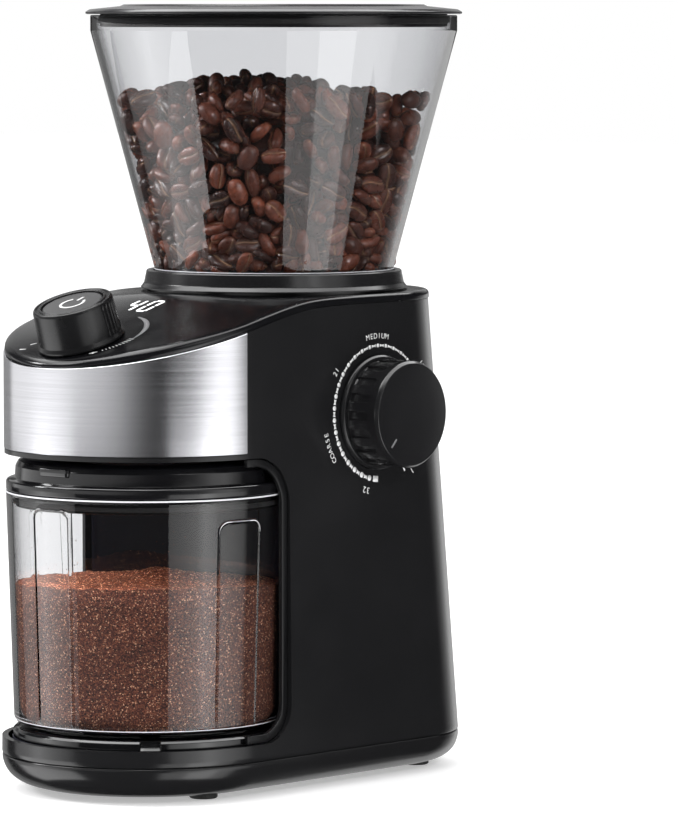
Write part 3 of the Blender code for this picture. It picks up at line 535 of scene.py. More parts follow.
def settle_beans(count, rounds):
    """Let beans fall and push each other apart between the hopper's wall and a hidden core.
    Each bean is six balls. Returns the beans' centres and rotations."""
    rng = np.random.default_rng(SEED)
    ball, fall, still_rounds, reach = 2.7, 0.45, 30, 13.0
    core_gap, core_top = 15.0, 264.0
    funnel_z, funnel_r, funnel_slope = 205.6, 19.5, 0.219
    firmness, spin_weight = 1.6, 14.0
    balls = np.array([(x, y, 0.0) for x in (-2.9, 0.0, 2.9) for y in (-1.0, 1.0)])
    (low_r, low_z), (high_r, high_z) = HOPPER_IN
    slope = (high_r - low_r) / (high_z - low_z)
    cos_wall = 1 / math.hypot(1, slope)
    z = rng.uniform(212.0, 312.0, count)
    radius_here = low_r + (z - low_z) * slope
    r = (radius_here - 5.0) - rng.uniform(0, 1, count) ** 1.3 * np.where(z > 262, radius_here - 9, 13.0)
    angle = rng.uniform(0, math.tau, count)
    centre = np.stack([r * np.cos(angle), r * np.sin(angle), z], 1)
    quaternion = rng.normal(size=(count, 4))
    quaternion /= np.linalg.norm(quaternion, axis=1, keepdims=True)
    w, x, y, k = quaternion.T
    turn = np.stack([1 - 2 * (y * y + k * k), 2 * (x * y - k * w), 2 * (x * k + y * w),
                     2 * (x * y + k * w), 1 - 2 * (x * x + k * k), 2 * (y * k - x * w),
                     2 * (x * k - y * w), 2 * (y * k + x * w), 1 - 2 * (x * x + y * y)], 1)
    turn = turn.reshape(-1, 3, 3)
    near = None
    for step in range(rounds):
        if step < rounds - still_rounds:
            centre[:, 2] -= fall
        if step % 5 == 0:
            gap = ((centre[:, None, :] - centre[None, :, :]) ** 2).sum(2)
            near = np.nonzero(np.triu(gap < reach ** 2, 1))
        arm = np.einsum("nij,sj->nsi", turn, balls)
        at = centre[:, None, :] + arm
        i, j = near
        apart = at[i][:, :, None, :] - at[j][:, None, :, :]
        distance = np.linalg.norm(apart, axis=3)
        depth = np.clip(2 * ball - distance, 0, None)
        push = (depth / np.maximum(distance, 1e-6) * 0.5)[..., None] * apart
        force = np.zeros_like(at)
        hits = np.zeros(count)
        np.add.at(force, i, push.sum(2))
        np.add.at(force, j, -push.sum(1))
        touching = (depth > 0).sum((1, 2))
        np.add.at(hits, i, touching)
        np.add.at(hits, j, touching)
        rho = np.hypot(at[..., 0], at[..., 1])
        outward = at[..., :2] / np.maximum(rho, 1e-6)[..., None]
        wall_r = low_r + (at[..., 2] - low_z) * slope
        over = np.clip(ball - (wall_r - rho) * cos_wall, 0, None)
        force[..., :2] -= over[..., None] * outward * cos_wall
        force[..., 2] += over * slope * cos_wall
        floor_z = funnel_z + np.clip(rho - funnel_r, 0, None) * funnel_slope
        under = np.clip(floor_z + ball - at[..., 2], 0, None)
        force[..., 2] += under
        core_r = wall_r - core_gap
        inside = np.clip(np.minimum(core_r + ball - rho, core_top + ball - at[..., 2]), 0, None)
        sideways = core_r - rho < core_top - at[..., 2]
        force[..., :2] += (inside * sideways)[..., None] * outward
        force[..., 2] += inside * ~sideways
        hits += (over > 0).sum(1) + (under > 0).sum(1) + (inside > 0).sum(1)
        share = firmness / np.maximum(hits, firmness)
        centre += force.sum(1) * share[:, None]
        spin = np.cross(arm, force).sum(1) / spin_weight * share[:, None]
        turn = turn_by(turn, spin)
    return centre, turn, rng


def make_beans():
    shape, faces, crease = bean_shape()
    centre, turn, rng = settle_beans(1280, 60)
    top = BEAN_TOP + 9.0 * np.exp(-((centre[:, 0] + 12) ** 2 + (centre[:, 1] + 4) ** 2) / 1500.0)
    keep = centre[:, 2] < top
    centre, turn = centre[keep], turn[keep]
    outward = centre * (1, 1, 0)
    facing = (turn[:, :, 2] * outward).sum(1) > 0
    flip = facing & (rng.uniform(size=len(centre)) < 0.6)
    turn[flip] = turn[flip] @ np.diag((1.0, -1.0, -1.0))
    size = rng.uniform(0.9, 1.06, (len(centre), 3))
    tone = rng.uniform(0.0, 1.0, len(centre)) ** 1.2
    order = np.argsort(centre[:, 2])
    for name, chosen in zip(("beans_lowest", "beans_lower", "beans_upper", "beans_highest"),
                            np.array_split(order, 4)):
        local = shape[None] * size[chosen][:, None, :]
        points = np.einsum("nij,nvj->nvi", turn[chosen], local) + centre[chosen][:, None, :]
        each = len(shape)
        listed = [tuple(v + each * k for v in face) for k in range(len(chosen)) for face in faces]
        thing = piece(name, points.reshape(-1, 3), listed, "beans", "hopper", sharp=None)
        for label, values in (("tone", np.repeat(tone[chosen], each)),
                              ("crease", np.tile(crease, len(chosen)))):
            layer = thing.data.attributes.new(label, "FLOAT", "POINT")
            layer.data.foreach_set("value", values.astype(np.float32))
    # The hidden core has no tone attribute, so it takes the beans' darkest colour: painted shade in the deep
    # gaps between the beans.
    core = soften([(0, 206.4, 0), (18, 206.4, 0), (36.5, 212.5, 2), (50.5, 261.0, 4), (43, 270.5, 6),
                   (0, 274.0, 0)])
    lathe("beans_shaded_core", core, "beans", "hopper", steps=72, sharp=None,
          offset=lambda a, r, z: 1.6 * noise.noise((math.cos(a) * 3, math.sin(a) * 3, z / 9)) if r else 0)


# ---------------------------------------------------------------- container and ground coffee

GRIPS = ((-88.7, 9.6, 117.8), (-5.0, 11.0, 113.0), (185.0, 11.0, 113.0))   # middle, half width, top
GRIP_CORNER = 4.5


def away_from(middle, angle):
    """Degrees from a middle direction to an angle in radians."""
    return (math.degrees(angle) - middle + 180) % 360 - 180


def cup_outside(z):
    return 54.8 + (z - 31.0) * 2.9 / 90.6


def cup_inside(z, gap=0.0):
    return 52.5 - gap + (z - 32.4) * 2.9 / 89.9


def grip_ridge(angle, r, z):
    """Height of the thin moulded arches on the cup's outside."""
    height = 0.0
    for middle, half, top in GRIPS:
        away = away_from(middle, angle)
        if abs(away) > half + 2:
            continue
        s = abs(away) * math.radians(1) * r
        edge = half * math.radians(1) * r
        corner = GRIP_CORNER
        if z < top - corner:
            distance = abs(s - edge)
        elif s < edge - corner:
            distance = abs(z - top)
        else:
            distance = abs(math.hypot(s - edge + corner, z - top + corner) - corner)
        height = max(height, math.exp(-(distance / 0.38) ** 2))
    return 0.42 * height


def make_container():
    rows = [31.0 + 2.0 * i for i in range(36)] + [103.2 + 0.45 * i for i in range(34)] + [119.2, 120.6]
    outer = [(cup_outside(z), z) for z in rows]
    rim = [(57.70, 121.7), (57.55, 122.1), (57.1, 122.3), (55.7, 122.3), (55.42, 122.0)]
    inner = [(cup_inside(z), z) for z in (118.0, 105.0, 90.0, 75.0, 60.0, 45.0, 35.0)]
    base = soften([(52.5, 33.0, 0), (51.9, 28.4, 2.2), (0.0, 28.4, 0)])
    under = soften([(0.0, 26.0, 0), (52.6, 26.0, 1.6), (54.8, 30.0, 1.0), (54.8, 31.0, 0)])
    angles, a = [], 0.0
    while a < 360.0:
        angles.append(math.radians(a))
        near = any(abs(abs(away_from(middle, angles[-1])) - half) < 1.6 for middle, half, _ in GRIPS)
        within = any(abs(away_from(middle, angles[-1])) < half + 1 for middle, half, _ in GRIPS)
        a += 0.3 if near else (1.0 if within else 2.0)
    walls = under[:-1] + outer + rim + inner + base
    lathe("container_clear", walls, "clear", "container", ("container",), centre=(0, CUP_Y),
          angles=angles, offset=lambda a, r, z: grip_ridge(a, r, z) if r > 54.6 and 30.5 < z < 121 else 0.0)


def grounds_height(x, y):
    """Top of the ground coffee above a point of the cup, measured from the cup's axis."""
    heap = 4.8 * math.exp(-((x - 1) ** 2 + (y - 4) ** 2) / 330.0)
    tilt = -0.03 * (0.73 * y - 0.68 * x)
    rough = 0.9 * noise.noise((x / 14.0, y / 14.0, 3.1)) + 0.55 * noise.noise((x / 4.0, y / 4.0, 8.3))
    crumbs = 0.4 * noise.noise((x / 1.3, y / 1.3, 5.5))
    return 84.9 + heap + tilt + rough + crumbs


def make_grounds():
    rings, columns = 90, 200
    surface_r, bottom = 53.9, 28.7
    points = []
    for i in range(rings):
        r = surface_r * (i + 1) / rings
        for j in range(columns):
            a = math.tau * j / columns
            x, y = r * math.cos(a), r * math.sin(a)
            points.append((x, y, grounds_height(x, y)))
    side = [33.5, 40.0, 50.0, 60.0, 70.0, 79.0]
    edge = points[-columns:]
    for level in reversed(side):
        for j in range(columns):
            a = math.tau * j / columns
            r = cup_inside(level, 0.15)
            points.append((r * math.cos(a), r * math.sin(a), level))
    for r, z in ((51.2, 29.4), (48.0, bottom), (20.0, bottom)):
        for j in range(columns):
            a = math.tau * j / columns
            points.append((r * math.cos(a), r * math.sin(a), z))
    for k, (x, y, z) in enumerate(edge):
        r = cup_inside(z, 0.2) / surface_r
        points[(rings - 1) * columns + k] = (x * r, y * r, z)
    rows = rings + len(side) + 3
    faces = [face[::-1] for face in grid_faces(rows, columns)]
    points.append((0.0, 0.0, grounds_height(0, 0)))
    points.append((0.0, 0.0, bottom))
    for j in range(columns):
        faces.append((len(points) - 2, j, (j + 1) % columns))
        last = (rows - 1) * columns
        faces.append((len(points) - 1, last + (j + 1) % columns, last + j))
    points = np.array(points) + (0.0, CUP_Y, 0.0)
    thing = piece("grounds", points, faces, "grounds", "container", sharp=None)
    # Marks the top surface, which the coffee's material paints lighter than the sides: painted light.
    top = np.zeros(len(points), np.float32)
    top[:(rings - 2) * columns] = 1.0
    thing.data.attributes.new("top", "FLOAT", "POINT").data.foreach_set("value", top)
    rng = np.random.default_rng(SEED)
    specks, speck_faces = [], []
    for _ in range(170):
        a = rng.uniform(0, math.tau)
        z = 87.0 + 24.0 * rng.uniform() ** 2.2
        r = cup_inside(z, 0.2)
        size = rng.uniform(0.12, 0.32)
        first = len(specks)
        for u, v in ((0, 0), (1, 0), (0, 1), (-1, 0.2), (0.2, -1)):
            out = r - (0.35 if u == v == 0 else 0.02) * size * 2 - 0.05
            turn = a + u * size / r
            specks.append((out * math.cos(turn), CUP_Y + out * math.sin(turn), z + v * size))
        speck_faces += [(first, first + i, first + i % 4 + 1) for i in (1, 2, 3, 4)]
    piece("wall_specks", specks, speck_faces, "grounds", "container", sharp=None)


def make_container_lid():
    shell = soften([(24.0, 135.8, 0.8), (50.4, 135.8, 1.8), (52.6, 134.8, 0.8), (53.8, 132.6, 1.0),
                    (54.2, 127.6, 0.3), (57.7, 127.2, 1.3), (57.7, 122.7, 0.6), (54.2, 122.7, 0.3),
                    (53.7, 116.5, 0.4), (51.9, 116.5, 0.4), (51.9, 131.8, 1.0), (50.2, 133.8, 1.0),
                    (24.0, 133.8, 0.6)], closed=True)
    lathe("container_lid_shell", shell, "gloss", "container_lid", ("container_lid",),
          steps=160, centre=(0, CUP_Y))
    outline = soften([(-8.0, -52.4, 0), (-8.0, -54.7, 1.2), (8.0, -54.7, 1.2), (8.0, -52.4, 0)], closed=True)
    points, faces = carved(solid("tab", *prism(outline, 130.6, 134.0),
                                 ("BEVEL", {"width": 0.6, "segments": 4, "limit_method": "ANGLE"})))
    points = [(x, y + CUP_Y, z) for x, y, z in points]
    piece("container_lid_tab", points, faces, "gloss", "container_lid", sharp=50.0)


def make_painted_edge_highlights():
    """Thin light grey rings at the clear pieces' rim and feet: painted highlights where these edges catch
    the light.
    """
    for name, r, z, thick, body, y in (("cup_rim_highlight", 57.55, 122.05, 0.34, "container", CUP_Y),
                                       ("cup_foot_highlight", 54.35, 29.4, 0.22, "container", CUP_Y),
                                       ("hopper_foot_highlight", 49.95, 210.1, 0.2, "hopper", 0.0)):
        section = [(r + thick * math.cos(math.tau * k / 10), z + thick * math.sin(math.tau * k / 10))
                   for k in range(10)]
        lathe(name, section, "edge", body, steps=160, centre=(0, y))


def make_arch_highlight():
    """A thin light grey line along the top of the moulded arch on the dial's side of the cup: a painted
    highlight.
    """
    middle, half, top = GRIPS[1]
    edge, corner = half * math.radians(1) * 57.4, GRIP_CORNER
    path = []
    for side in (-1, 1):
        bend = [(side * (edge - corner + corner * math.cos(t)), top - corner + corner * math.sin(t))
                for t in (math.radians(d) for d in range(0, 91, 9))]
        path += bend if side < 0 else bend[::-1]
    points = []
    for s, z in path:
        r = cup_outside(z) + 0.35
        a = math.radians(middle) + s / r
        for k in range(6):
            turn = math.tau * k / 6
            out = r + 0.16 * math.cos(turn)
            points.append((out * math.cos(a), CUP_Y + out * math.sin(a), z + 0.22 * math.sin(turn)))
    faces = grid_faces(len(path), 6)
    faces += [tuple(range(6))[::-1], tuple(range(len(points) - 6, len(points)))]
    piece("cup_arch_highlight", points, faces, "edge", "container", sharp=None)


def make_cup_seat():
    ring = soften([(55.2, 21.9, 0), (55.2, 24.6, 0.4), (54.2, 25.6, 0.5), (50.6, 25.6, 0.4),
                   (50.6, 21.9, 0)], closed=True)

    def notch(a, r, z):
        away = abs((math.degrees(a) - 45 + 45) % 90 - 45)
        return min(0.0, 52.5 - r) if z > 23.2 and away < 4.3 else 0.0
    lathe("cup_seat_ring", ring, "gloss", "body", ("cup_seat",), steps=720,
          centre=(0, CUP_Y), offset=notch)


# ---------------------------------------------------------------- timer knob and grind dial

def make_timer_knob():
    body = soften([(12.9, 17.1, 0.2), (13.6, 17.1, 0.3), (14.0, 16.7, 0.2), (14.9, 16.7, 0.2),
                   (15.3, 17.1, 0.3), (15.9, 17.1, 0.5), (16.4, 16.1, 0.5), (17.0, 2.8, 0.6),
                   (17.8, 1.4, 0.4), (17.8, 0.6, 0.2), (3.4, 0.6, 0), (3.4, 9.3, 0), (12.9, 9.3, 0)],
                  closed=True)
    ribs = 22

    def grip(a, r, z):
        if r < 15.8 or not 3.6 < z < 15.4:
            return 0.0
        away = away_from(90, a)
        share = min(1.0, max(0.0, (95 - abs(away)) / 8))
        return -0.45 * share * max(0.0, math.cos(a * ribs * 2)) ** 0.6
    fine = [math.tau * i / 352 for i in range(352)]
    rows = []
    for (r0, z0), (r1, z1) in zip(body, body[1:] + body[:1]):
        rows.append((r0, z0))
        if abs(z1 - z0) > 5 and r0 > 15:
            rows += [(r0 + (r1 - r0) * k / 12, z0 + (z1 - z0) * k / 12) for k in range(1, 12)]
    lathe("timer_knob_shell", rows, "knob", "timer_knob", ("timer_knob",),
          frame_of=knob_frame, angles=fine, offset=grip)
    disc = soften([(0, 16.5, 0), (11.9, 16.7, 0.3), (12.6, 16.4, 0.3), (12.6, 12.9, 0), (0, 12.9, 0)])
    lathe("power_button_disc", disc, "satin", "power_button", ("power_button",),
          frame_of=knob_frame, steps=96)


def stroke(path, width, lift=0.0, closed=False):
    """A flat ribbon along (x, y) points, as points and faces."""
    points, faces = [], []
    count = len(path)
    for i, (x, y) in enumerate(path):
        before = path[i - 1] if i or closed else path[i]
        after = path[(i + 1) % count] if i < count - 1 or closed else path[i]
        along = Vector((after[0] - before[0], after[1] - before[1])).normalized()
        side = Vector((-along.y, along.x)) * width / 2
        points += [(x - side.x, y - side.y, lift), (x + side.x, y + side.y, lift)]
    for i in range(count if closed else count - 1):
        a, b = 2 * i, 2 * ((i + 1) % count)
        faces.append((a, b, b + 1, a + 1))
    return points, faces


def ring_points(radius, start, end, steps, centre=(0.0, 0.0)):
    angles = [math.radians(start + (end - start) * i / steps) for i in range(steps + 1)]
    return [(centre[0] + radius * math.cos(a), centre[1] + radius * math.sin(a)) for a in angles]


def join_strokes(strokes):
    points, faces = [], []
    for some_points, some_faces in strokes:
        faces += [tuple(v + len(points) for v in face) for face in some_faces]
        points += some_points
    return points, faces


def onto(points, matrix):
    return [tuple(matrix @ Vector(p)) for p in points]


def thicken(thing, amount):
    solid = thing.modifiers.new("ink", "SOLIDIFY")
    solid.thickness = amount
    solid.offset = 0


def make_power_mark():
    strokes = [stroke(ring_points(4.9, -232, 52, 48), 1.15), stroke([(0, 3.0), (0, 6.9)], 1.15)]
    points, faces = join_strokes(strokes)
    lifted = [(x, y, 16.68) for x, y, _ in points]
    mark = piece("power_mark", onto(lifted, knob_frame), faces, "print", "power_button",
                 sharp=None)
    thicken(mark, 1.2 * INK)


def make_dial():
    ribs = 18
    columns = 960
    face = [(0.0, 76.15), (8.0, 76.3), (14.0, 76.55), (18.6, 76.85), (19.9, 77.0)]
    rim = soften([(19.9, 77.0, 0), (20.9, 77.1, 0.4), (22.0, 75.7, 1.2), (22.0, 72.9, 0)], 8)
    walls = [(22.0, 72.9 - 12.2 * k / 60) for k in range(1, 60)]
    foot = [(22.0, 60.75), (21.4, 60.7), (3.0, 60.7), (3.0, 70.4), (0.0, 70.4)]

    def groove(a, r, z):
        if r < 21.9 or z > 72.6:
            return 0.0
        away = (a / math.tau * ribs % 1 - 0.5) * math.tau / ribs * r
        half = 1.75
        end = 70.3
        beyond = max(0.0, z - end)
        distance = math.hypot(away, beyond) if beyond else abs(away)
        share = min(1.0, max(0.0, (half - distance) / 0.55 + 0.5))
        return -1.25 * share * share * (3 - 2 * share)
    lathe("grind_dial_shell", face + rim[1:] + walls + foot, "dial", "grind_dial",
          ("grind_dial",), frame_of=dial_frame, angles=[math.tau * i / columns for i in range(columns)],
          offset=groove, sharp=None)
    line = [(r * math.cos(math.radians(-44)), r * math.sin(math.radians(-44)), 76.72) for r in (13.5, 18.0)]
    points, faces = stroke([p[:2] for p in line], 0.9, 76.8)
    mark = piece("dial_index", onto(points, dial_frame), faces, "print_grey", "grind_dial",
                 sharp=None)
    thicken(mark, 1.2 * INK)
    flange = soften([(4.5, 60.4, 0), (22.9, 60.4, 0.5), (23.7, 59.6, 0.5), (23.7, 58.75, 0),
                     (4.5, 58.75, 0)], closed=True)
    lathe("dial_flange_ring", flange, "dial", "body", ("dial_flange",), steps=160,
          frame_of=dial_frame)


def side_x(z):
    return HOUSING_HALF + (200.0 - z) * 0.0117


def on_side(points, lift=0.05):
    """Points drawn round the dial, (towards the rear, up), put on the body's right side."""
    return [(side_x(DIAL_Z + up) + lift, back, DIAL_Z + up) for back, up, _ in points]


def clock(radius, degrees):
    """A place round the dial; 0 is straight down and angles run clockwise seen from the right."""
    a = math.radians(degrees)
    return (-radius * math.sin(a), -radius * math.cos(a))


def tick(radius, angle, length, width):
    along = Vector(clock(1.0, angle))
    middle = Vector(clock(radius, angle))
    ends = [middle - along * length / 2, middle + along * length / 2]
    return stroke([tuple(p) for p in ends], width)


def dot(radius, angle, size):
    sides = 16
    outline = ring_points(size, 0, 360, sides, clock(radius, angle))[:sides]
    return [(x, y, 0.0) for x, y in outline], [tuple(range(sides))]


def bow_tie(radius, angle, length, width):
    """A small printed mark that is narrow in the middle."""
    out = Vector(clock(1.0, angle))
    side = Vector((out.y, -out.x))
    middle = Vector(clock(radius, angle))
    outline = [(-1, 1), (0, 0.45), (1, 1), (1, -1), (0, -0.45), (-1, -1)]
    points = [middle + side * (u * length / 2) + out * (v * width / 2) for u, v in outline]
    return [(p.x, p.y, 0.0) for p in points], [(0, 1, 4, 5), (1, 2, 3, 4)]


def make_dial_scale():
    """The scale round the dial: its marks grow from fine to coarse."""
    radius, first, step = 27.5, 13.4, 10.35
    strokes = [stroke([clock(radius, a) for a in (2.2, 5.4, 8.6)], 2.5)]
    for k in range(22):
        share = 1 - k / 21
        angle = first + step * k
        size = 1.25 + 1.1 * share ** 0.7
        strokes.append(dot(radius, angle, size / 2))
        if k:
            strokes.append(bow_tie(radius, angle - step / 2, 4.1 - size, 1.0 + 0.9 * share))
    strokes.append(tick(28.3, -32.0, 2.6, 0.8))
    points, faces = join_strokes(strokes)
    points = [(x + 0.7, y, z) for x, y, z in points]
    scale = piece("dial_scale", on_side(points), faces, "print", "body", sharp=None)
    thicken(scale, INK)


def lettering(name, words, radius, middle, size, advance, upright=False):
    """Small printed characters set one by one round the dial, with their tops outwards or upright."""
    way = -1.0 if upright else 1.0
    strokes_points, strokes_faces = [], []
    for k, letter in enumerate(words):
        if letter == " ":
            continue
        curve = bpy.data.curves.new(name + "_text", "FONT")
        curve.body = letter
        curve.size = size
        curve.align_x = "CENTER"
        curve.align_y = "CENTER"
        curve.fill_mode = "FRONT"
        holder = bpy.data.objects.new(name + "_text", curve)
        bpy.context.scene.collection.objects.link(holder)
        bpy.context.view_layer.update()
        depsgraph = bpy.context.evaluated_depsgraph_get()
        mesh = bpy.data.meshes.new_from_object(holder.evaluated_get(depsgraph))
        bpy.data.objects.remove(holder)
        angle = middle + way * (k - (len(words) - 1) / 2) * math.degrees(advance / radius)
        out = Vector(clock(1.0, angle))
        right = Vector((out.y, -out.x)) * way
        up = out * way
        origin = Vector(clock(radius, angle))
        first = len(strokes_points)
        for v in mesh.vertices:
            p = origin + right * v.co.x + up * v.co.y
            strokes_points.append((p.x, p.y, 0.0))
        strokes_faces += [tuple(first + i for i in polygon.vertices) for polygon in mesh.polygons]
        bpy.data.meshes.remove(mesh)
    thing = piece(name, on_side(strokes_points), strokes_faces, "print", "body", sharp=None)
    thicken(thing, INK)


def make_dial_numbers():
    lettering("dial_number_32", "32", 32.4, 13.6, 3.7, 2.3)
    lettering("dial_number_21", "21", 30.9, 125.0, 3.3, 2.0)
    lettering("dial_number_15", "15", 33.0, 236.0, 3.3, 2.0)
    lettering("dial_number_1", "1", 33.0, -39.6, 3.6, 2.0, True)
    lettering("dial_word_coarse", "COARSE", 32.5, 66.0, 3.2, 2.3)
    lettering("dial_word_medium", "MEDIUM", 31.4, 180.0, 3.2, 2.35)


# ---------------------------------------------------------------- top cover and its printing

def soft_min(a, b, blend):
    return (a + b - math.sqrt((a - b) ** 2 + blend ** 2)) / 2


def seam_z(y):
    return soft_min(198.1, 198.1 + 0.25 * (y + 42.0), 3.0)


def cover_z(x, y):
    edge = seam_z(y) + 3.4
    middle = soft_min(201.8, KNOB_AT[2] + math.tan(PANEL_TILT) * (y - KNOB_AT[1]), 2.0)
    return edge + (middle - edge) * (1 - min(1, (x / HOUSING_HALF) ** 2))


def body_plan(z, inset, fine=4):
    """The body's outline at height z, from the left side round the front."""
    width = side_x(z) - inset
    rear = 59.2 + (200.0 - z) * math.tan(math.radians(5.4)) - inset
    corner = 44.0 - inset
    front = ring_points(width, 180, 360, 28 * fine, (0, CUP_Y))
    side = [CUP_Y + (rear - corner - CUP_Y) * i / (8 * fine) for i in range(1, 8 * fine)]
    right = [(width, y) for y in side]
    rear_right = ring_points(corner, 0, 90, 8 * fine, (width - corner, rear - corner))
    back = [((width - corner) * (1 - i / (2 * fine)), rear) for i in range(1, 4 * fine)]
    rear_left = ring_points(corner, 90, 180, 8 * fine, (corner - width, rear - corner))
    left = [(-width, y) for y in reversed(side)]
    return front + right + rear_right + back + rear_left + left


def make_top_cover():
    rings = [[(x, y, seam_z(y) + 2.2) for x, y in body_plan(198.1, 2.4)],
             [(x, y, seam_z(y)) for x, y in body_plan(198.1, 2.2)],
             [(x, y, seam_z(y)) for x, y in body_plan(198.1, -0.2)]]
    for inset, drop in ((-0.4, -0.25), (-0.4, 2.1), (-0.32, 1.55), (-0.05, 0.95), (0.35, 0.5), (0.9, 0.18),
                        (1.7, 0.0)):
        if drop < 0:
            rings.append([(x, y, seam_z(y) - drop) for x, y in body_plan(198.1, inset)])
        else:
            rings.append([(x, y, cover_z(x, y) - drop) for x, y in body_plan(198.1, inset)])
    edge = [Vector(p[:2]) for p in rings[-1]]
    hole = [p.normalized() * 53.2 for p in edge]
    for k in range(1, 25):
        line = [a.lerp(b, k / 24) for a, b in zip(edge, hole)]
        rings.append([(p.x, p.y, cover_z(p.x, p.y)) for p in line])
    rings.append([(p.x, p.y, cover_z(p.x, p.y) - 2.2) for p in hole])
    columns = len(rings[0])
    points = [p for ring in rings for p in ring]
    faces = grid_faces(len(rings), columns, wrap_rows=True)
    return piece("top_cover_shell", points, faces, "panel", "body", ("top_cover",), sharp=48.0)


def on_cover(points, lift=0.05):
    return [(x, y, cover_z(x, y) + lift) for x, y, _ in points]


PANEL_RING_AT = (1.0, -108.5)
PANEL_RING_RADIUS = 21.2


def round_knob(radius, degrees):
    """A place on the panel's printed ring; 0 is straight to the front, going to the right."""
    a = math.radians(degrees)
    return (PANEL_RING_AT[0] + radius * math.sin(a), PANEL_RING_AT[1] - radius * math.cos(a))


def make_panel_marks():
    strokes = []
    for k in range(10):
        angle = 54.5 + k * 4.0
        half = 0.6 + 0.08 * k
        ends = [round_knob(PANEL_RING_RADIUS + out, angle) for out in (-half, half)]
        strokes.append(stroke(ends, 0.42))
    strokes.append(stroke([round_knob(20.2, 44), round_knob(22.4, 44)], 0.8))
    strokes.append(stroke([round_knob(21.3, 40), round_knob(21.3, 49)], 0.7))
    strokes.append(stroke([(-24.9, -124.6), (-21.9, -124.1)], 0.7))
    strokes.append(stroke([(-24.0, -119.4), (-22.2, -117.6)], 0.6))
    points, faces = join_strokes(strokes)
    marks = piece("panel_ticks", on_cover(points), faces, "print", "body", sharp=None)
    thicken(marks, INK)
    sweep = []
    for k in range(50):
        angle = 92.0 + k * 1.5
        width = 0.5 + 1.7 * math.sin(math.pi * (k + 1) / 51) ** 0.8
        sweep.append(stroke([round_knob(21.6, angle), round_knob(21.6, angle + 1.55)], width))
    points, faces = join_strokes(sweep)
    arc = piece("panel_sweep", on_cover(points, 0.04), faces, "print_grey", "body", sharp=None)
    thicken(arc, 0.8 * INK)


SEGMENTS = {"a": ((0, 2), (1, 2)), "b": ((1, 2), (1, 1)), "c": ((1, 1), (1, 0)), "d": ((0, 0), (1, 0)),
            "e": ((0, 1), (0, 0)), "f": ((0, 2), (0, 1)), "g": ((0, 1), (1, 1))}
DIGITS = {"4": "bcfg", "0": "abcdef"}


def make_display():
    """Two seven-segment digits that shine through the panel behind the knob."""
    strokes = []
    width, half_height, lean = 4.6, 5.5, 0.095
    for number, digit in enumerate("40"):
        left = -9.9 + number * 9.15
        for name in DIGITS[digit]:
            ends = []
            for u, v in SEGMENTS[name]:
                x = left + u * width + (v - 1) * half_height * lean
                y = -75.8 + (v - 1) * half_height
                ends.append(Vector((x, y)))
            along = (ends[1] - ends[0]).normalized() * 0.45
            strokes.append(stroke([tuple(ends[0] + along), tuple(ends[1] - along)], 1.2))
    points, faces = join_strokes(strokes)
    digits = piece("display_digits", on_cover(points, 0.06), faces, "digits", "body",
                   sharp=None)
    thicken(digits, INK)


# ---------------------------------------------------------------- body shells

def bay_side(shrink=0.0):
    """The container opening seen from the side, as (back, up) points."""
    back = -54.0 - shrink
    return soften([(-170, 22.0 + shrink, 0), (back, 22.0 + shrink, 15.0 - shrink),
                   (back, 137.8 - shrink, 19.0 - shrink), (-170, 137.8 - shrink, 0)], 16, closed=True)


def make_housing():
    levels = ((15.3, 0.55), (15.42, 0.2), (15.8, 0.0), (17.5, 0.0), (70.0, 0.0), (130.0, 0.0))
    rings = [[(x, y, z) for x, y in body_plan(z, inset)] for z, inset in levels]
    rings.append([(x, y, seam_z(y) - 0.3) for x, y in body_plan(198.1, 0.0)])
    columns = len(rings[0])
    shell = solid("housing", [p for ring in rings for p in ring], grid_faces(len(rings), columns),
                  ("SOLIDIFY", {"thickness": 2.5, "offset": -1, "use_even_offset": True}))
    opening = solid("opening", *prism(bay_side(), -90, 90, True))
    recess_plan = ring_points(57.4, 182.4, 357.6, 128, (0, CUP_Y))
    recess_plan += [(90, -79.0), (90, -170), (-90, -170), (-90, -79.0)]
    recess = solid("recess", *prism(recess_plan, 139.6, 210))
    round_hole = ring_points(4.5, 0, 360, 48, (0, DIAL_Z))[:48]
    dial_hole = solid("dial_hole", *prism(round_hole, 40, 90, True))
    points, faces = carved(shell, opening, recess, dial_hole)
    piece("housing_shell", points, faces, "shell", "body", ("main_housing",), sharp=34.0)


def make_base():
    section = through([(15.0, 0.2), (12.5, 0.3), (9.0, 1.6), (6.0, 4.0), (3.6, 7.8), (2.2, 12.4)])
    levels = [(15.0, 0.8), (14.95, 0.5), (14.8, 0.3)] + section[2:]
    rings = [[(x, y, z) for x, y in body_plan(z, inset)] for z, inset in levels]
    columns = len(rings[0])
    inner = [[(x, y, z + 2.3) for x, y in body_plan(z, inset + 1.9)] for z, inset in levels[:2:-1]]
    inner.append([(x, y, 15.0) for x, y in body_plan(15.0, 2.5)])
    rows = rings + inner
    rows[len(rings)] = [(x, y, 4.5) for x, y in body_plan(2.2, 13.5)]
    points = [p for ring in rows for p in ring]
    faces = [face[::-1] for face in grid_faces(len(rings), columns)]
    faces += [face[::-1] for face in grid_faces(len(inner), columns, first=len(rings) * columns)]
    faces.append(tuple(range((len(rings) - 1) * columns, len(rings) * columns))[::-1])
    faces.append(tuple(range(len(rings) * columns, (len(rings) + 1) * columns)))
    first, last = 0, (len(rows) - 1) * columns
    faces += [(first + j, first + (j + 1) % columns, last + (j + 1) % columns, last + j)
              for j in range(columns)]
    piece("base_shell", points, faces, "shell", "body", ("base_cover",), sharp=40.0)


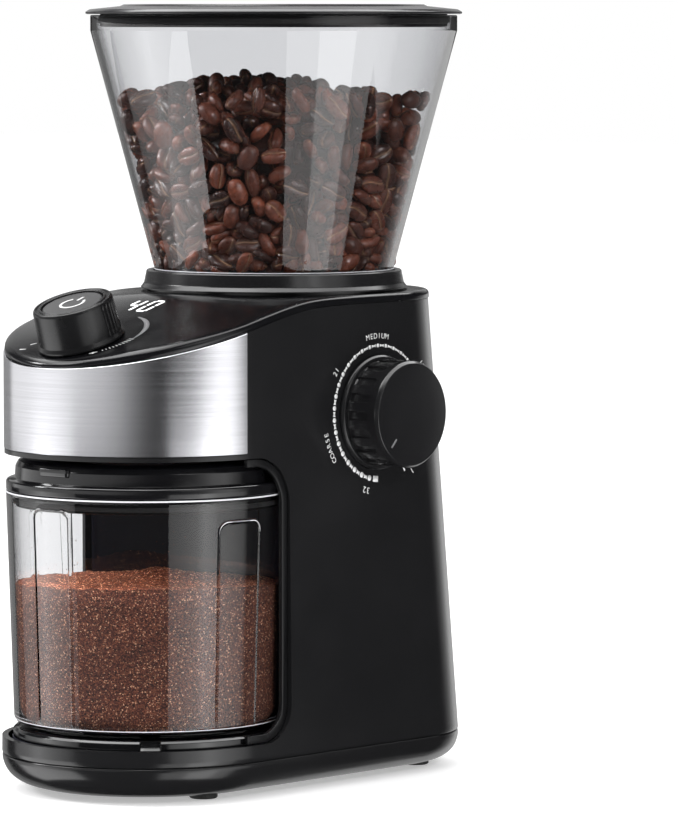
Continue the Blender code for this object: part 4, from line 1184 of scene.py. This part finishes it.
def make_band():
    end = math.degrees(math.asin((CUP_Y + 79.0) / 58.5))
    steps = 240
    outer = ring_points(58.5, 180 + end, 360 - end, steps, (0, CUP_Y))
    middle = ring_points(58.4, 180 + end, 360 - end, steps, (0, CUP_Y))
    inner = ring_points(57.7, 180 + end, 360 - end, steps, (0, CUP_Y))
    rows = [[(x, y, 140.05) for x, y in outer], [(x, y, seam_z(y) - 0.4) for x, y in outer],
            [(x, y, seam_z(y) - 0.3) for x, y in middle], [(x, y, seam_z(y) - 0.3) for x, y in inner],
            [(x, y, 139.9) for x, y in inner], [(x, y, 139.9) for x, y in middle]]
    points = [p for row in rows for p in row]
    count = steps + 1
    faces = grid_faces(len(rows), count, wrap_rows=True, wrap_columns=False)
    faces.append(tuple(row * count for row in range(len(rows)))[::-1])
    faces.append(tuple(row * count + steps for row in range(len(rows))))
    piece("band_sheet", points, faces, "band", "body", ("steel_band",), sharp=30.0)


def make_bay():
    axis = (0, CUP_Y)
    leg = 22.6
    outline = ring_points(55.4, 180, 360, 120, axis) + ring_points(60.0, leg, 180 - leg, 110, axis)
    cavity = ring_points(58.6, leg, 180 - leg, 110, axis)
    cavity += [(-90, -54.0), (-90, -170), (90, -170), (90, -54.0)]
    chute = [(-11.4, -74.1), (11.4, -74.1), (11.4, -51.9), (-11.4, -51.9)]
    points, faces = carved(solid("liner", *prism(outline, 19.6, 139.9)),
                           solid("cavity", *prism(cavity, 21.6, 137.9)),
                           solid("chute", *prism(chute, 130, 145)))
    piece("bay_shell", points, faces, "inner", "body", ("bay_liner",), sharp=34.0)
    outer = [p for p in bay_side(0.3) if p[0] > -100]
    inner = [p for p in bay_side(3.6) if p[0] > -100]
    trim = [(-78, 22.3)] + outer + [(-78, 137.5), (-78, 134.2)] + inner[::-1] + [(-78, 25.6)]
    for side, low in (("left", -57.5), ("right", 55.5)):
        points, faces = carved(solid("trim", *prism(trim, low, low + 2.0, True),
                                     ("BEVEL", {"width": 0.3, "segments": 4, "limit_method": "ANGLE"})))
        piece("bay_edge_" + side, points, faces, "knob", "body", ("bay_trim_" + side,),
              sharp=50.0)


def make_collar():
    profile = soften([(50.6, 209.8, 0.3), (52.9, 209.8, 0.6), (53.3, 209.3, 0.4), (54.3, 204.4, 1.6),
                      (55.6, 202.7, 0.5), (55.6, 202.15, 0.15), (52.2, 202.15, 0), (52.2, 196.6, 0),
                      (50.6, 196.6, 0)], closed=True)
    lathe("collar_ring", profile, "dial", "body", ("hopper_collar",), steps=180)


# ---------------------------------------------------------------- camera, floor and lights

# Heights of the glowing cards in metres. The low ones are below the floor, which lets their light
# through: the hopper's and the cup's leaning walls reflect them.
LOW = (-1.2, -0.24)
MIDDLE = (-0.24, 0.03)
HIGH = (0.03, 0.34)
CARD_TOP = 1.6


def light_ring(name, low, high, curve, radius=1.3, diffuse=True):
    """A curved glowing card on a circle round the grinder. Azimuth 0 is straight in front, and the
    curve gives the card's strength as (azimuth, strength) pairs."""
    start, end = curve[0][0], curve[-1][0]
    steps = int((end - start) * 2)
    points, glow = [], []
    for i in range(steps + 1):
        azimuth = start + (end - start) * i / steps
        a = math.radians(azimuth)
        for z in (low, high):
            points.append((radius * math.sin(a), -radius * math.cos(a), z))
            glow.append(float(np.interp(azimuth, *zip(*curve))))
    faces = [(2 * i, 2 * i + 1, 2 * i + 3, 2 * i + 2) for i in range(steps)]
    glowing_card(name, points, faces, glow, diffuse)


def glowing_card(name, points, faces, glow, diffuse=True):
    mesh = bpy.data.meshes.new(name)
    mesh.from_pydata(points, [], faces)
    layer = mesh.attributes.new("glow", "FLOAT", "POINT")
    layer.data.foreach_set("value", glow)
    n = Nodes(name)
    emission = n.add("ShaderNodeEmission")
    n.link(n.attribute("glow"), emission.inputs["Strength"])
    n.link(emission.outputs[0], n.output.inputs["Surface"])
    mesh.materials.append(n.material)
    card = bpy.data.objects.new(name, mesh)
    bpy.context.scene.collection.objects.link(card)
    card.visible_camera = False
    card.visible_transmission = False
    card.visible_shadow = False
    card.visible_diffuse = diffuse


def make_world():
    world = bpy.data.worlds.new("studio")
    bpy.context.scene.world = world
    world.use_nodes = True
    n = WorldNodes(world)
    path = n.add("ShaderNodeLightPath").outputs
    # What is seen straight through the clear parts is as pale as the rest; what has been
    # reflected inside them on the way is dark.
    bounces = n.math("ADD", path["Glossy Depth"], path["Diffuse Depth"])
    seen_through = n.blend(path["Is Transmission Ray"], 1.0, n.blend(bounces, 1.0, 0.05))
    only_glossy = n.math("SUBTRACT", path["Is Glossy Ray"], path["Is Transmission Ray"])
    back = n.tree.nodes["Background"]
    n.fill(back, Color=(1.0, 1.0, 1.0, 1.0), Strength=n.blend(only_glossy, seen_through, 0.035))


def make_floor():
    mesh = bpy.data.meshes.new("floor")
    mesh.from_pydata([(-9, -9, 0), (9, -9, 0), (9, 9, 0), (-9, 9, 0)], [], [(0, 1, 2, 3)])
    n = Nodes("pale_floor")
    paper = n.noise(6.0, 4.0)
    mesh.materials.append(n.surface(Base_Color=n.mix(paper, (0.86, 0.86, 0.865), (0.88, 0.88, 0.88)),
                                    Roughness=0.6, Specular_IOR_Level=0.2, Emission_Strength=0.4,
                                    Emission_Color=(1.0, 1.0, 1.0, 1.0)))
    floor = bpy.data.objects.new("floor", mesh)
    floor.location.z = -0.0002
    bpy.context.scene.collection.objects.link(floor)
    floor.visible_glossy = False
    floor.visible_transmission = False
    floor.visible_shadow = False


def make_lights():
    light_ring("low_left", *LOW, [(-78, 0.5), (-70, 2.6), (-45, 3.7), (-15, 3.4)],
               diffuse=False)
    light_ring("low_right", *LOW, [(52, 2.0), (73.5, 2.0), (74, 4.2), (98.5, 4.2), (99, 2.0),
                                         (114, 2.0)], diffuse=False)
    light_ring("mid_left", *MIDDLE, [(-81, 0.5), (-62, 1.4), (-48, 3.2), (-40, 2.6), (-15, 0.8)],
               diffuse=False)
    light_ring("mid_right", *MIDDLE, [(59, 1.3), (72, 1.9), (82, 2.6), (89, 3.9), (94, 3.6), (102, 2.5),
                                         (112, 2.0), (126, 1.1), (131, 0.2)], diffuse=False)
    light_ring("high_ring", *HIGH,
               [(-118, 0.10), (-96, 0.25), (-88, 1.2), (-28, 1.3), (-16, 1.15), (-2.5, 1.0), (10, 0.85),
                (22, 0.62), (31, 0.36), (41, 0.15), (47, 0.08), (54, 0.04), (62, 0.05), (72, 0.15),
                (82, 0.4), (92, 0.95), (100, 1.5), (112, 1.6), (122, 0.8), (128, 0.4), (133, 0.04)])
    light_ring("upper_right", HIGH[1], CARD_TOP, [(62, 0.0), (80, 1.0), (104, 1.0), (118, 0.1)])
    light_ring("back_low", -1.1, 0.24, [(160, 0.0), (173, 0.5), (188, 1.3), (205, 0.7), (223, 0.35),
                                       (262, 0.4)])
    light_ring("back_high", 0.35, 0.85, [(185, 0.2), (205, 0.6), (240, 0.6), (262, 0.3)])
    for name, (x0, x1), (y0, y1) in (("top_card", (-1.7, 0.9), (-1.1, 0.8)),
                                     ("top_back_card", (-0.5, 0.9), (0.8, 2.2))):
        glowing_card(name, [(x0, y0, CARD_TOP), (x1, y0, CARD_TOP), (x1, y1, CARD_TOP), (x0, y1, CARD_TOP)],
                     [(0, 1, 2, 3)], [5.2] * 4, diffuse=False)

    for name, at, size, power in (("overhead", (-0.25, -0.35, 1.5), 0.9, 9.0),
                                  ("key", (-1.1, -1.3, 1.5), 0.7, 14.0),
                                  ("sparkle_right", (1.65, -0.5, 1.0), 0.3, 9.0),
                                  ("sparkle_left", (-1.5, -0.9, 1.0), 0.3, 9.0)):
        lamp = bpy.data.lights.new(name, "AREA")
        lamp.shape = "SQUARE"
        lamp.size = size
        lamp.energy = power
        holder = bpy.data.objects.new(name, lamp)
        holder.location = at
        holder.rotation_euler = (Vector((0, 0, 0.2)) - Vector(at)).to_track_quat("-Z", "Y").to_euler()
        holder.visible_camera = False
        bpy.context.scene.collection.objects.link(holder)


def make_camera():
    lens = bpy.data.cameras.new("camera")
    lens.lens = 240.8
    lens.sensor_width = 36.0
    lens.clip_start = 0.05
    camera = bpy.data.objects.new("camera", lens)
    camera.location = (1.5437, -1.6409, 0.3144)
    camera.rotation_euler = (math.radians(85.912), 0.0, math.radians(42.064))
    bpy.context.scene.collection.objects.link(camera)
    bpy.context.scene.camera = camera
    bpy.context.scene.view_settings.view_transform = "Standard"


def main():
    make_camera()
    make_world()
    make_floor()
    make_lights()
    dress_nodes()
    make_hopper()
    make_beans()
    make_container()
    make_grounds()
    make_container_lid()
    make_painted_edge_highlights()
    make_arch_highlight()
    make_cup_seat()
    make_timer_knob()
    make_power_mark()
    make_dial()
    make_dial_scale()
    make_dial_numbers()
    make_top_cover()
    make_panel_marks()
    make_display()
    make_housing()
    make_base()
    make_band()
    make_bay()
    make_collar()


main()
